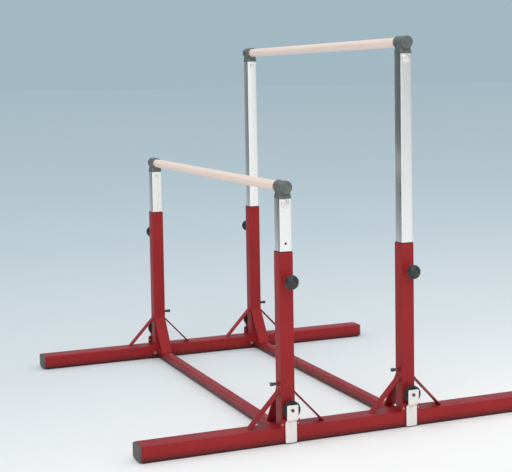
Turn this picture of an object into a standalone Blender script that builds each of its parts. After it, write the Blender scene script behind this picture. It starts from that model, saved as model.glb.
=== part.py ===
"""Height-adjustable parallel bars for children: two wooden rails on four telescopic uprights.

X runs along the feet, Y from the front foot to the back one and Z is up. The origin is on the floor
in the middle. Each upright is laid out in its own frame, with -Y facing out of the apparatus and
-X towards its clamp screw, and the back ones are the same parts turned round.
"""
import math

import bmesh
import bpy
from mathutils import Matrix, Vector

# Fit between neighbouring pieces
FIT = 0.0003
MERGE = 0.00005
# How far welded pieces reach into each other, and how far a cutter reaches past what it cuts
WELD = 0.0008
BEYOND = 0.2

# Overall layout
FOOT_SPAN = 1.700
RAIL_SPACING = 0.558
FOOT_LENGTH = 1.837

# Feet, their end plugs and rubber strips
FOOT_DEPTH = 0.093
FOOT_HEIGHT = 0.063
FOOT_WALL = 0.003
FOOT_CORNER = 0.007
STRIP_THICKNESS = 0.005
STRIP_SIDE_INSET = 0.0045
STRIP_END_INSET = 0.006
STRIP_GROOVE = 0.0016
STRIP_GROOVE_WIDTH = 0.005
STRIP_GROOVES = 3
CAP_THICKNESS = 0.010
CAP_CORNER = 0.012
CAP_CHAMFER = 0.0035
CAP_PLUG_LENGTH = 0.022
CAP_PLUG_WALL = 0.0025

# Spreader tubes with welded flanges
SPREADER_SIZE = 0.041
SPREADER_WALL = 0.0025
SPREADER_LIFT = 0.006
FLANGE_EAR = 0.0325
FLANGE_ABOVE = 0.0095
FLANGE_BELOW = 0.0015
FLANGE_THICKNESS = 0.005
FLANGE_BOLT_HEAD = 0.0065
FLANGE_BOLT_RADIUS = 0.0075
TOP_SCREW_INSET = 0.200
TOP_SCREW_RADIUS = 0.006
TOP_SCREW_HEAD = 0.0035

# Uprights: outer tube on its socket, guide sleeve in its mouth
TUBE_SIZE = 0.060
TUBE_WALL = 0.002
TUBE_CORNER = 0.0045
TUBE_TOP = 0.781
SOCKET_TOP = 0.220
SPIGOT_RISE = 0.115
SPIGOT_WALL = 0.003
SLEEVE_LINER = 0.0009
SLEEVE_DEPTH = 0.070
SLEEVE_LIP = 0.004
SLEEVE_LIP_STEP = 0.001

# Braces
SIDE_BRACE_THICKNESS = 0.005
SIDE_BRACE_WIDTH = 0.038
SIDE_BRACE_DROP = 0.006
SIDE_BRACE_REACH = 0.137
INNER_BRACE_THICKNESS = 0.006
INNER_BRACE_WIDTH = 0.056
INNER_BRACE_DROP = 0.001
INNER_BRACE_REACH = 0.115

# Clamp screw in the side of each upright
CLAMP_RISE = 0.021
CLAMP_HEAD_RADIUS = 0.0085
CLAMP_HEAD_LENGTH = 0.010
CLAMP_COLLAR_RADIUS = 0.0065
CLAMP_PROJECTION = 0.036
CLAMP_SHANK_RADIUS = 0.004

# Inner tubes and their index holes
INNER_WALL = 0.0025
INNER_CORNER = 0.003
INNER_GROOVE_WIDTH = 0.0022
INNER_GROOVE_DEPTH = 0.0006
INNER_GROOVE_OFFSET = 0.016
INNER_BOTTOM_GAP = 0.010
LOW_HEAD_BASE = 0.998
HIGH_HEAD_BASE = 1.578
HOLE_PITCH = 0.050
HOLE_RADIUS = 0.0052
HOLE_COUNT_UP = 2
HOLE_COUNT_MORE_AT_LOW = 1
HOLE_COUNT_DOWN = 3

# Index plungers
PLUNGER_DROP = 0.114
PIN_RADIUS = 0.0047
PIN_PARK_GAP = 0.001
PIN_TRAVEL = 0.009
HOUSING_RADIUS = 0.011
HOUSING_FLANGE_RADIUS = 0.015
HOUSING_FLANGE = 0.004
HOUSING_LENGTH = 0.019
KNOB_RADIUS = 0.030
KNOB_LENGTH = 0.043
KNOB_FLATNESS = 0.72
KNOB_NECK_RADIUS = 0.013
KNOB_SEAT_GAP = 0.0015
KNOB_CAP_RADIUS = 0.0104
KNOB_CAP_STEP = 0.0015

# Rail heads and rails
RAIL_RADIUS = 0.021
HEAD_AXIS_RISE = 0.047
HEAD_WALL = 0.004
HEAD_RING_STEP = 0.002
HEAD_RING_WIDTH = 0.021
HEAD_LENGTH = 0.080
HEAD_CAP_WALL = 0.012
HEAD_EDGE = 0.0035
HEAD_DISH = 0.0025
HEAD_DISH_RIM = 0.0085
COLLAR_STEP = 0.00075
COLLAR_HEIGHT = 0.014
COLLAR_CORNER = 0.006
NECK_STEP = 0.001
NECK_TAPER = 0.0018
NECK_SINK = 0.008
HEAD_PLUG_DEPTH = 0.060
HEAD_PLUG_WALL = 0.004
RAIL_SCREW_RADIUS = 0.0045
RAIL_SCREW_HEAD = 0.0028
RAIL_SCREW_INSET = 0.011

# Bolts that hold the rail heads on the inner tubes
HEAD_BOLT_DROP = 0.020
HEAD_BOLT_RADIUS = 0.004
DOME_RADIUS = 0.0185
DOME_HEIGHT = 0.0065
DOME_RIM = 0.0016
BOLT_HEAD_RADIUS = 0.008
BOLT_HEAD_HEIGHT = 0.0035
NUT_RADIUS = 0.009
NUT_HEIGHT = 0.008

# Wheel levers, their pivot plates and pivots on the outer side of each foot
LEVER_WIDTH = 0.050
LEVER_THICKNESS = 0.004
LEVER_BOTTOM = 0.006
LEVER_OVER_AXLE = 0.022
LEVER_CORNER = 0.007
LEVER_FOOT_CORNER = 0.004
LEVER_STANDOFF = 0.0034
PIVOT_RISE = 0.015
PIVOT_RADIUS = 0.005
PIVOT_HEAD_RADIUS = 0.0075
PIVOT_HEAD_HEIGHT = 0.0035
PIVOT_NUT_HEIGHT = 0.0065
PLATE_WIDTH = 0.086
PLATE_ABOVE = 0.021
PLATE_BELOW = 0.033
PLATE_THICKNESS = 0.0025
PLATE_CORNER = 0.012
PLATE_SCREW_OFFSET = 0.035
PLATE_SCREW_RADIUS = 0.0045
PLATE_SCREW_HEAD = 0.0021

# Transport wheels and their axles
WHEEL_ARM = 0.060
WHEEL_RADIUS = 0.0375
WHEEL_THICKNESS = 0.016
WHEEL_SIDE_GAP = 0.001
WHEEL_CLEARANCE = 0.0005
TYRE_DEPTH = 0.009
TYRE_EDGE = 0.003
HUB_RADIUS = 0.0095
HUB_DISH = 0.0044
JOGGLE_LENGTH = 0.012
AXLE_RADIUS = 0.004
AXLE_HEAD_RADIUS = 0.0068
AXLE_HEAD_HEIGHT = 0.005
AXLE_NUT_RADIUS = 0.0065
AXLE_NUT_HEIGHT = 0.0045

# Small edges of turned pieces, and the top of a screw head as a share of its base
TURNED_EDGE = 0.001
HEAD_TAPER = 0.7

# Facets of round forms
ROUND_LARGE = 18
ROUND_WHEEL = 16
ROUND_MEDIUM = 12
ROUND_SMALL = 10
ROUND_HOLE = 8
CORNER_STEPS = 3
NECK_CORNER_STEPS = 2
KNOB_ANGLES = (50, 18, -16, -46)

# Places that follow from the sizes above
FOOT_TOP = STRIP_THICKNESS + FOOT_HEIGHT
FOOT_MIDDLE = STRIP_THICKNESS + FOOT_HEIGHT / 2
FOOT_FACE = FOOT_DEPTH / 2
SPREADER_MIDDLE = SPREADER_LIFT + SPREADER_SIZE / 2
SPREADER_TOP = SPREADER_LIFT + SPREADER_SIZE
TUBE_FACE = TUBE_SIZE / 2
TUBE_BORE = TUBE_SIZE - 2 * TUBE_WALL
SPIGOT_SIZE = TUBE_BORE - 2 * FIT
SPIGOT_TOP = SOCKET_TOP + SPIGOT_RISE
CLAMP_HEIGHT = SOCKET_TOP + CLAMP_RISE
PLUNGER_HEIGHT = TUBE_TOP - PLUNGER_DROP
INNER_SIZE = TUBE_BORE - 2 * (SLEEVE_LINER + 2 * FIT)
INNER_FACE = INNER_SIZE / 2
INNER_BORE = INNER_SIZE - 2 * INNER_WALL
HOLE_COUNT_MOST_UP = HOLE_COUNT_UP + HOLE_COUNT_MORE_AT_LOW
INNER_BOTTOM = SPIGOT_TOP + HOLE_COUNT_MOST_UP * HOLE_PITCH + INNER_BOTTOM_GAP
HEAD_WAIST_RADIUS = RAIL_RADIUS + HEAD_WALL
HEAD_RING_RADIUS = HEAD_WAIST_RADIUS + HEAD_RING_STEP
COLLAR_SIZE = INNER_SIZE + 2 * COLLAR_STEP
PIVOT_HEIGHT = FOOT_TOP + PIVOT_RISE
AXLE_HEIGHT = PIVOT_HEIGHT + WHEEL_ARM
LEVER_TOP = AXLE_HEIGHT + LEVER_OVER_AXLE
JOGGLE_TOP = AXLE_HEIGHT - WHEEL_RADIUS + WHEEL_CLEARANCE
JOGGLE_BOTTOM = JOGGLE_TOP - JOGGLE_LENGTH

# Distances of the wheel gear from the foot's middle, outwards
PLATE_BACK = FOOT_FACE - WELD
PLATE_FACE = FOOT_FACE + PLATE_THICKNESS
LEVER_TAIL_BACK = PLATE_FACE + LEVER_STANDOFF
WHEEL_BACK = LEVER_TAIL_BACK + 2 * FIT
WHEEL_MIDDLE = WHEEL_BACK + WHEEL_THICKNESS / 2
WHEEL_FRONT = WHEEL_BACK + WHEEL_THICKNESS
LEVER_HEAD_BACK = WHEEL_FRONT + WHEEL_SIDE_GAP

# The four uprights: place along X, side of the apparatus along Y
CORNERS = {
    "low_front": (-RAIL_SPACING / 2, -1),
    "low_back": (-RAIL_SPACING / 2, 1),
    "high_front": (RAIL_SPACING / 2, -1),
    "high_back": (RAIL_SPACING / 2, 1),
}

# Looks: colour (linear RGB), roughness, metallic
RED_PAINT = ((0.355, 0.028, 0.035), 0.38, 0.0)
ALUMINIUM = ((0.72, 0.72, 0.70), 0.32, 1.0)
BEECH = ((0.72, 0.57, 0.42), 0.50, 0.0)
DARK_CAST = ((0.085, 0.098, 0.092), 0.50, 0.0)
BLACK_PLASTIC = ((0.022, 0.028, 0.028), 0.45, 0.0)
BLACK_RUBBER = ((0.014, 0.014, 0.015), 0.80, 0.0)
ZINC = ((0.66, 0.66, 0.65), 0.35, 1.0)
DARK_STEEL = ((0.06, 0.06, 0.065), 0.42, 1.0)


def clear_scene():
    """Removes what the scene holds, so the model starts empty."""
    for obj in list(bpy.data.objects):
        bpy.data.objects.remove(obj, do_unlink=True)


def collection(name):
    """A collection linked to the scene."""
    made = bpy.data.collections.new(name)
    bpy.context.scene.collection.children.link(made)
    return made


def link(name, data):
    """A workbench object that holds a shape while it is being made."""
    obj = bpy.data.objects.new("bench_" + name, data)
    BENCH.objects.link(obj)
    return obj


def settled(obj):
    """The same object as a welded mesh, with its modifiers applied."""
    graph = bpy.context.evaluated_depsgraph_get()
    mesh = bpy.data.meshes.new_from_object(obj.evaluated_get(graph), depsgraph=graph)
    mesh.transform(obj.matrix_world)
    work = bmesh.new()
    work.from_mesh(mesh)
    bmesh.ops.remove_doubles(work, verts=work.verts, dist=MERGE)
    work.to_mesh(mesh)
    work.free()
    bpy.data.objects.remove(obj, do_unlink=True)
    return link(mesh.name, mesh)


def move(obj, matrix):
    """Moves the mesh itself, so that the object's frame stays put."""
    obj.data.transform(matrix)
    return obj


def shift(obj, x=0.0, y=0.0, z=0.0):
    return move(obj, Matrix.Translation((x, y, z)))


def turn(obj, degrees, axis):
    return move(obj, Matrix.Rotation(math.radians(degrees), 4, axis))


def combine(target, tool, operation):
    """Boolean of two closed meshes. The tool is used up."""
    modifier = target.modifiers.new(operation.lower(), "BOOLEAN")
    modifier.operation = operation
    modifier.solver = "EXACT"
    modifier.object = tool
    tool.hide_render = True
    tool.display_type = "WIRE"
    bpy.context.view_layer.update()
    result = settled(target)
    bpy.data.objects.remove(tool, do_unlink=True)
    return result


def cut(target, tool):
    return combine(target, tool, "DIFFERENCE")


def fuse(target, tool):
    return combine(target, tool, "UNION")


def gather(name, parts):
    """Several separate solids as one object, to cut with in one go."""
    work = bmesh.new()
    for part in parts:
        work.from_mesh(part.data)
        bpy.data.objects.remove(part, do_unlink=True)
    mesh = bpy.data.meshes.new(name)
    work.to_mesh(mesh)
    work.free()
    return link(name, mesh)


def chamfered(obj, width):
    """The same solid with its sharp edges cut once."""
    modifier = obj.modifiers.new("edges", "BEVEL")
    modifier.width = width
    modifier.segments = 1
    modifier.limit_method = "ANGLE"
    modifier.angle_limit = math.radians(40.0)
    return settled(obj)


def rod(name, radius, start, end, steps=ROUND_SMALL, tip=None):
    """A cylinder, or a cone to another tip radius, between two points."""
    start, end = Vector(start), Vector(end)
    work = bmesh.new()
    bmesh.ops.create_cone(
        work,
        cap_ends=True,
        segments=steps,
        radius1=radius,
        radius2=radius if tip is None else tip,
        depth=(end - start).length,
    )
    mesh = bpy.data.meshes.new(name)
    work.to_mesh(mesh)
    work.free()
    aim = (end - start).to_track_quat("Z", "Y").to_matrix().to_4x4()
    mesh.transform(Matrix.Translation((start + end) / 2) @ aim)
    return link(name, mesh)


def cutter(radius, start, end, steps=ROUND_HOLE):
    """A cutter for a round hole, whose flats lie at the radius."""
    return rod("cutter", radius / math.cos(math.pi / steps), start, end, steps)


def drill(radius, z, steps=ROUND_HOLE):
    """A cutter along Y, right through at a height."""
    return cutter(radius, (0, -BEYOND, z), (0, BEYOND, z), steps)


def screw_head(radius, seat, direction, height):
    """A low conical screw head, sunk a little into the face that its seat lies on."""
    seat, direction = Vector(seat), Vector(direction)
    start = seat - direction * WELD
    end = seat + direction * height
    return rod("screw", radius, start, end, tip=radius * HEAD_TAPER, steps=ROUND_HOLE)


def arc(centre, radius, first, last, steps):
    """Points of an arc, angles in degrees."""
    points = []
    for k in range(steps + 1):
        angle = math.radians(first + (last - first) * k / steps)
        points.append((centre[0] + radius * math.cos(angle), centre[1] + radius * math.sin(angle)))
    return points


def plate_outline(width, bottom, top, bottom_radius, top_radius, steps=CORNER_STEPS):
    """A rectangle centred in width, with its own corner radius below and above."""
    half = width / 2
    points = arc((half - top_radius, top - top_radius), top_radius, 0, 90, steps)
    points += arc((-half + top_radius, top - top_radius), top_radius, 90, 180, steps)
    points += arc((-half + bottom_radius, bottom + bottom_radius), bottom_radius, 180, 270, steps)
    points += arc((half - bottom_radius, bottom + bottom_radius), bottom_radius, 270, 360, steps)
    return points


def rounded(width, height, radius, steps=CORNER_STEPS):
    """A rectangle about the origin with rounded corners."""
    return plate_outline(width, -height / 2, height / 2, radius, radius, steps)


def bore_outline(width, height, radius):
    """The inside of a rectangular tube, with its corners cut once."""
    return rounded(width, height, radius, steps=1)


def inside(corner, wall):
    """Corner radius on the inner side of a wall, never sharper than a third of the outer one."""
    return max(corner - wall, corner / 3)


def extrude(name, outlines, length):
    """A flat outline, with any holes as further outlines, drawn out to a length about its plane."""
    curve = bpy.data.curves.new(name, "CURVE")
    curve.dimensions = "2D"
    curve.fill_mode = "BOTH"
    curve.extrude = length / 2
    for outline in outlines:
        spline = curve.splines.new("POLY")
        spline.points.add(len(outline) - 1)
        for point, place in zip(spline.points, outline):
            point.co = (place[0], place[1], 0.0, 1.0)
        spline.use_cyclic_u = True
    return settled(link(name, curve))


def post(name, outlines, bottom, top):
    """An upright prism between two heights."""
    return shift(extrude(name, outlines, top - bottom), z=(top + bottom) / 2)


def along_y(obj):
    """Turns a solid drawn in XY and extruded in Z so that its outline stands in XZ."""
    return turn(obj, 90, "X")


def along_x(obj):
    """Turns a solid drawn in XY so that its first axis runs along Y and its second along Z."""
    return move(obj, Matrix(((0, 0, 1, 0), (1, 0, 0, 0), (0, 1, 0, 0), (0, 0, 0, 1))))


def turned(name, profile, steps, closed=False):
    """A turned solid round Z from (radius, height) points that run down the outer side."""
    mesh = bpy.data.meshes.new(name)
    edges = [(k, k + 1) for k in range(len(profile) - 1)]
    if closed:
        edges.append((len(profile) - 1, 0))
    mesh.from_pydata([(r, 0.0, h) for r, h in profile], edges, [])
    obj = link(name, mesh)
    screw = obj.modifiers.new("turn", "SCREW")
    screw.steps = steps
    screw.render_steps = steps
    screw.use_merge_vertices = True
    screw.merge_threshold = MERGE
    screw.use_smooth_shade = True
    return settled(obj)


def facing_out(obj):
    """Turns a solid made round Z so that its top faces out of the apparatus, along -Y."""
    return turn(obj, 90, "X")


def finish(name, look):
    """A Principled material for one piece."""
    colour, roughness, metallic = look
    material = bpy.data.materials.new(name + "_finish")
    material.use_nodes = True
    shader = material.node_tree.nodes["Principled BSDF"]
    shader.inputs["Base Color"].default_value = (*colour, 1.0)
    shader.inputs["Roughness"].default_value = roughness
    shader.inputs["Metallic"].default_value = metallic
    material.diffuse_color = (*colour, 1.0)
    return material


def piece(name, source, look, parent=None, location=(0.0, 0.0, 0.0), back=False):
    """A finished piece that shares the mesh of its workbench original."""
    mesh = source.data
    if not mesh.materials:
        mesh.materials.append(None)
        mesh.shade_smooth()
        mesh.set_sharp_from_angle(angle=math.radians(35))
    obj = bpy.data.objects.new(name, mesh)
    MODEL.objects.link(obj)
    obj.material_slots[0].link = "OBJECT"
    obj.material_slots[0].material = finish(name, look)
    obj.location = location
    obj.rotation_euler.z = math.pi if back else 0.0
    obj.parent = parent
    return obj


def empty(name, parent, location):
    """A joint's own frame, with its origin on the axis."""
    obj = bpy.data.objects.new(name, None)
    obj.empty_display_size = 0.05
    MODEL.objects.link(obj)
    obj.location = location
    obj.parent = parent
    return obj


def foot():
    """Rectangular foot tube, open at both ends, with two welded pivot plates for the wheel levers."""
    length = FOOT_LENGTH - 2 * CAP_THICKNESS - 2 * FIT
    outer = rounded(FOOT_DEPTH, FOOT_HEIGHT, FOOT_CORNER)
    inner = bore_outline(
        FOOT_DEPTH - 2 * FOOT_WALL, FOOT_HEIGHT - 2 * FOOT_WALL, inside(FOOT_CORNER, FOOT_WALL)
    )
    tube = shift(along_x(extrude("foot", [outer, inner], length)), z=FOOT_MIDDLE)
    for x in (-RAIL_SPACING / 2, RAIL_SPACING / 2):
        tube = fuse(tube, shift(pivot_plate(), x=x))
    return tube


def pivot_plate():
    """Plate on the outer face of a foot that a wheel lever turns on, with its two screws."""
    bottom, top = PIVOT_HEIGHT - PLATE_BELOW, PIVOT_HEIGHT + PLATE_ABOVE
    outline = plate_outline(PLATE_WIDTH, bottom, top, TUBE_CORNER, PLATE_CORNER)
    plate = along_y(extrude("plate", [outline], PLATE_FACE - PLATE_BACK))
    shift(plate, y=-(PLATE_FACE + PLATE_BACK) / 2)
    plate = cut(plate, drill(PIVOT_RADIUS + FIT, PIVOT_HEIGHT, steps=ROUND_SMALL))
    for x in (-PLATE_SCREW_OFFSET, PLATE_SCREW_OFFSET):
        seat = (x, -PLATE_FACE, PIVOT_HEIGHT)
        plate = fuse(plate, screw_head(PLATE_SCREW_RADIUS, seat, (0, -1, 0), PLATE_SCREW_HEAD))
    return plate


def end_cap():
    """Plug at the +X end of a foot: a rounded cover with a hollow shank inside the tube."""
    cover = extrude("cap", [rounded(FOOT_DEPTH, FOOT_HEIGHT, CAP_CORNER)], CAP_THICKNESS)
    cover = chamfered(cover, CAP_CHAMFER)
    depth = FOOT_DEPTH - 2 * FOOT_WALL - 2 * FIT
    height = FOOT_HEIGHT - 2 * FOOT_WALL - 2 * FIT
    corner = inside(FOOT_CORNER, FOOT_WALL)
    outer = bore_outline(depth, height, corner)
    hollow = bore_outline(
        depth - 2 * CAP_PLUG_WALL, height - 2 * CAP_PLUG_WALL, inside(corner, CAP_PLUG_WALL)
    )
    shank = post("shank", [outer, hollow], -CAP_THICKNESS / 2 - CAP_PLUG_LENGTH, 0.0)
    cap = along_x(fuse(cover, shank))
    return shift(cap, x=(FOOT_LENGTH - CAP_THICKNESS) / 2, z=FOOT_MIDDLE)


def grip_strip():
    """Rubber strip under a foot, grooved along its length."""
    width = FOOT_DEPTH - 2 * STRIP_SIDE_INSET
    half = width / 2
    side = STRIP_GROOVE_WIDTH / 2
    points = [(half, STRIP_THICKNESS - FIT), (-half, STRIP_THICKNESS - FIT), (-half, 0.0)]
    for k in range(STRIP_GROOVES):
        centre = -half + width * (k + 1) / (STRIP_GROOVES + 1)
        points += [(centre - side, 0.0), (centre - side, STRIP_GROOVE)]
        points += [(centre + side, STRIP_GROOVE), (centre + side, 0.0)]
    points.append((half, 0.0))
    length = FOOT_LENGTH - 2 * CAP_THICKNESS - 2 * STRIP_END_INSET
    return along_x(extrude("strip", [points[::-1]], length))


def spreader():
    """Square tube let into a bolted flange at both ends, open right through."""
    length = FOOT_SPAN - FOOT_DEPTH - 2 * FIT
    square = rounded(SPREADER_SIZE, SPREADER_SIZE, TUBE_CORNER)
    bar = along_y(extrude("spreader", [square], length - FLANGE_THICKNESS))
    shift(bar, z=SPREADER_MIDDLE)
    bottom = SPREADER_LIFT - FLANGE_BELOW
    top = SPREADER_TOP + FLANGE_ABOVE
    plate = plate_outline(SPREADER_SIZE + 2 * FLANGE_EAR, bottom, top, TUBE_CORNER, TUBE_CORNER)
    for side in (-1, 1):
        flange = along_y(extrude("flange", [plate], FLANGE_THICKNESS))
        bar = fuse(bar, shift(flange, y=side * (length - FLANGE_THICKNESS) / 2))
        for fastener in spreader_fasteners(side, length / 2 - FLANGE_THICKNESS, (top + bottom) / 2):
            bar = fuse(bar, fastener)
    bore_size = SPREADER_SIZE - 2 * SPREADER_WALL
    bore = bore_outline(bore_size, bore_size, inside(TUBE_CORNER, SPREADER_WALL))
    return cut(bar, shift(along_y(extrude("bore", [bore], 2 * length)), z=SPREADER_MIDDLE))


def spreader_fasteners(side, face, height):
    """Two hexagon heads on the flange at one end, and a low screw on top of the tube near it."""
    parts = []
    offset = (SPREADER_SIZE + FLANGE_EAR) / 2
    for x in (-offset, offset):
        start = (x, side * (face + WELD), height)
        end = (x, side * (face - FLANGE_BOLT_HEAD), height)
        parts.append(rod("bolt", FLANGE_BOLT_RADIUS, start, end, steps=6))
    seat = (0, side * (FOOT_SPAN / 2 - TOP_SCREW_INSET), SPREADER_TOP)
    parts.append(screw_head(TOP_SCREW_RADIUS, seat, (0, 0, 1), TOP_SCREW_HEAD))
    return parts


def socket():
    """Stub welded on the foot, with its three braces. Its upper part is a spigot inside the upright."""
    corner = inside(TUBE_CORNER, TUBE_WALL)
    stub = post("socket", [rounded(TUBE_SIZE, TUBE_SIZE, TUBE_CORNER)], FOOT_TOP + FIT, SOCKET_TOP)
    spigot = post("spigot", [bore_outline(SPIGOT_SIZE, SPIGOT_SIZE, corner)], SOCKET_TOP - WELD, SPIGOT_TOP)
    bore_size = SPIGOT_SIZE - 2 * SPIGOT_WALL
    bore = extrude("bore", [bore_outline(bore_size, bore_size, corner)], 2 * SPIGOT_TOP + BEYOND)
    body = cut(fuse(stub, spigot), bore)
    for bar in side_braces() + [inner_brace()]:
        body = fuse(body, bar)
    return body


def sloping_bar(name, near, top, far, bottom, thickness, width):
    """A flat bar that slopes down and out, mitred against a wall on one side and a deck below."""
    angle = math.atan2(top - bottom, far - near)
    rise = thickness / math.cos(angle)
    run = thickness / math.sin(angle)
    points = [(near, top), (near, top - rise), (far - run, bottom), (far, bottom)]
    return extrude(name, [points], width)


def side_braces():
    """Two flat bars from the socket down to the foot, one on each side."""
    near, far = TUBE_FACE - WELD, TUBE_FACE + SIDE_BRACE_REACH
    top, bottom = SOCKET_TOP - SIDE_BRACE_DROP, FOOT_TOP + FIT
    bars = []
    for degrees in (0, 180):
        bar = sloping_bar("side_brace", near, top, far, bottom, SIDE_BRACE_THICKNESS, SIDE_BRACE_WIDTH)
        bars.append(turn(along_y(bar), degrees, "Z"))
    return bars


def inner_brace():
    """Wide flat bar from the socket's inner face down to the spreader."""
    near, far = TUBE_FACE - WELD, TUBE_FACE + INNER_BRACE_REACH
    top, bottom = SOCKET_TOP - INNER_BRACE_DROP, SPREADER_TOP + FIT
    return along_x(
        sloping_bar("inner_brace", near, top, far, bottom, INNER_BRACE_THICKNESS, INNER_BRACE_WIDTH)
    )


def upright():
    """Outer tube with its clamp screw hole and the welded housing of its index plunger."""
    outer = rounded(TUBE_SIZE, TUBE_SIZE, TUBE_CORNER)
    bore = bore_outline(TUBE_BORE, TUBE_BORE, inside(TUBE_CORNER, TUBE_WALL))
    tube = fuse(post("upright", [outer, bore], SOCKET_TOP + FIT, TUBE_TOP), plunger_housing())
    pin_hole = cutter(PIN_RADIUS + FIT, (0, -BEYOND, PLUNGER_HEIGHT), (0, 0, PLUNGER_HEIGHT))
    clamp_hole = cutter(CLAMP_SHANK_RADIUS + FIT, (-BEYOND, 0, CLAMP_HEIGHT), (0, 0, CLAMP_HEIGHT))
    return cut(tube, gather("holes", [pin_hole, clamp_hole]))


def guide_sleeve():
    """Moulded liner in the mouth of an upright, with a lip on its end."""
    shank = TUBE_BORE - 2 * FIT
    rim = TUBE_SIZE - 2 * SLEEVE_LIP_STEP
    bore_size = INNER_SIZE + 2 * FIT
    lip_bottom = TUBE_TOP + FIT
    lip_top = lip_bottom + SLEEVE_LIP
    outline = bore_outline(shank, shank, inside(TUBE_CORNER, TUBE_WALL))
    liner = post("sleeve", [outline], lip_top - WELD - SLEEVE_DEPTH, lip_top - WELD)
    lip = post("lip", [rounded(rim, rim, TUBE_CORNER)], lip_bottom, lip_top)
    bore = [bore_outline(bore_size, bore_size, inside(INNER_CORNER, INNER_WALL))]
    return cut(fuse(liner, lip), post("bore", bore, TUBE_TOP - BEYOND, TUBE_TOP + BEYOND))


def clamp_screw():
    """Side screw of an upright: hexagon head, collar and a shank that presses on the spigot."""
    wall = TUBE_FACE + FIT
    tip = SPIGOT_SIZE / 2 + FIT
    head_end = wall + CLAMP_PROJECTION
    head_base = head_end - CLAMP_HEAD_LENGTH
    z = CLAMP_HEIGHT
    head = rod("clamp", CLAMP_HEAD_RADIUS, (-head_base, 0, z), (-head_end, 0, z), steps=6)
    collar = rod("collar", CLAMP_COLLAR_RADIUS, (-wall, 0, z), (-head_base - WELD, 0, z))
    shank = rod("shank", CLAMP_SHANK_RADIUS, (-tip, 0, z), (-wall - WELD, 0, z), steps=ROUND_HOLE)
    return fuse(fuse(head, collar), shank)


def inner_outline():
    """Square outline with two shallow grooves along its outer face."""
    side = INNER_GROOVE_WIDTH / 2
    floor = -INNER_FACE + INNER_GROOVE_DEPTH
    grooves = []
    for centre in (-INNER_GROOVE_OFFSET, INNER_GROOVE_OFFSET):
        grooves += [(centre - side, -INNER_FACE), (centre - side, floor)]
        grooves += [(centre + side, floor), (centre + side, -INNER_FACE)]
    corners = rounded(INNER_SIZE, INNER_SIZE, INNER_CORNER)
    before = 3 * (CORNER_STEPS + 1)
    return corners[:before] + grooves + corners[before:]


def inner_tube(head_base, holes_up):
    """Aluminium tube with index holes in its outer face and the bolt hole of its head."""
    bore = bore_outline(INNER_BORE, INNER_BORE, inside(INNER_CORNER, INNER_WALL))
    tube = post("inner", [inner_outline(), bore], INNER_BOTTOM, head_base - FIT)
    pins = [drill(HEAD_BOLT_RADIUS + FIT, head_base - HEAD_BOLT_DROP)]
    for k in range(-HOLE_COUNT_DOWN, holes_up + 1):
        z = PLUNGER_HEIGHT + HOLE_PITCH * k
        pins.append(cutter(HOLE_RADIUS, (0, -BEYOND, z), (0, 0, z)))
    return cut(tube, gather("pins", pins))


def barrel():
    """Turned body of a rail head round Z, with a ring at each end and a dished cap on top."""
    half = HEAD_LENGTH / 2
    ring = HEAD_RING_RADIUS
    waist = HEAD_WAIST_RADIUS
    dish = ring - HEAD_DISH_RIM
    neck_edge = half - HEAD_RING_WIDTH
    profile = [(0.0, half - HEAD_DISH), (dish - HEAD_DISH, half - HEAD_DISH), (dish, half)]
    profile += [(ring - HEAD_EDGE, half), (ring, half - HEAD_EDGE)]
    profile += [(ring, neck_edge), (waist, neck_edge - HEAD_EDGE)]
    profile += [(waist, -neck_edge + HEAD_EDGE), (ring, -neck_edge)]
    profile += [(ring, -half), (0.0, -half)]
    return turned("barrel", profile, ROUND_LARGE)


def neck():
    """Square collar that sits on the inner tube, tapering up into the barrel."""
    top = HEAD_AXIS_RISE - NECK_SINK
    base = COLLAR_SIZE - 2 * NECK_STEP
    share = (base - 2 * NECK_TAPER) / base
    square = rounded(COLLAR_SIZE, COLLAR_SIZE, COLLAR_CORNER, NECK_CORNER_STEPS)
    collar = post("collar", [square], 0.0, COLLAR_HEIGHT)
    square = rounded(base, base, COLLAR_CORNER, NECK_CORNER_STEPS)
    block = post("neck", [square], COLLAR_HEIGHT - WELD, top)
    for vertex in block.data.vertices:
        if vertex.co.z > COLLAR_HEIGHT:
            vertex.co.x *= share
            vertex.co.y *= share
    return fuse(collar, block)


def rail_head():
    """Head of a rail end: barrel on the rail's axis, neck, square collar and a hollow plug."""
    body = shift(facing_out(barrel()), z=HEAD_AXIS_RISE)
    start = (0, BEYOND, HEAD_AXIS_RISE)
    end = (0, -HEAD_LENGTH / 2 + HEAD_CAP_WALL, HEAD_AXIS_RISE)
    head = cut(fuse(body, neck()), cutter(RAIL_RADIUS + FIT, start, end, ROUND_LARGE))
    seat = (-HEAD_RING_RADIUS, HEAD_LENGTH / 2 - RAIL_SCREW_INSET, HEAD_AXIS_RISE)
    head = fuse(head, screw_head(RAIL_SCREW_RADIUS, seat, (-1, 0, 0), RAIL_SCREW_HEAD))
    return cut(fuse(head, head_plug()), drill(HEAD_BOLT_RADIUS + FIT, -HEAD_BOLT_DROP))


def head_plug():
    """Hollow square plug of a rail head, inside the inner tube."""
    size = INNER_BORE - 2 * FIT
    hollow = size - 2 * HEAD_PLUG_WALL
    corner = inside(INNER_CORNER, INNER_WALL)
    outlines = [bore_outline(size, size, corner), bore_outline(hollow, hollow, corner)]
    return post("plug", outlines, -HEAD_PLUG_DEPTH, WELD)


def rail():
    """Round wooden rail between the blind ends of its two heads."""
    end = FOOT_SPAN / 2 + HEAD_LENGTH / 2 - HEAD_CAP_WALL - FIT
    return rod("rail", RAIL_RADIUS, (0, -end, 0), (0, end, 0), steps=ROUND_LARGE)


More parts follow.
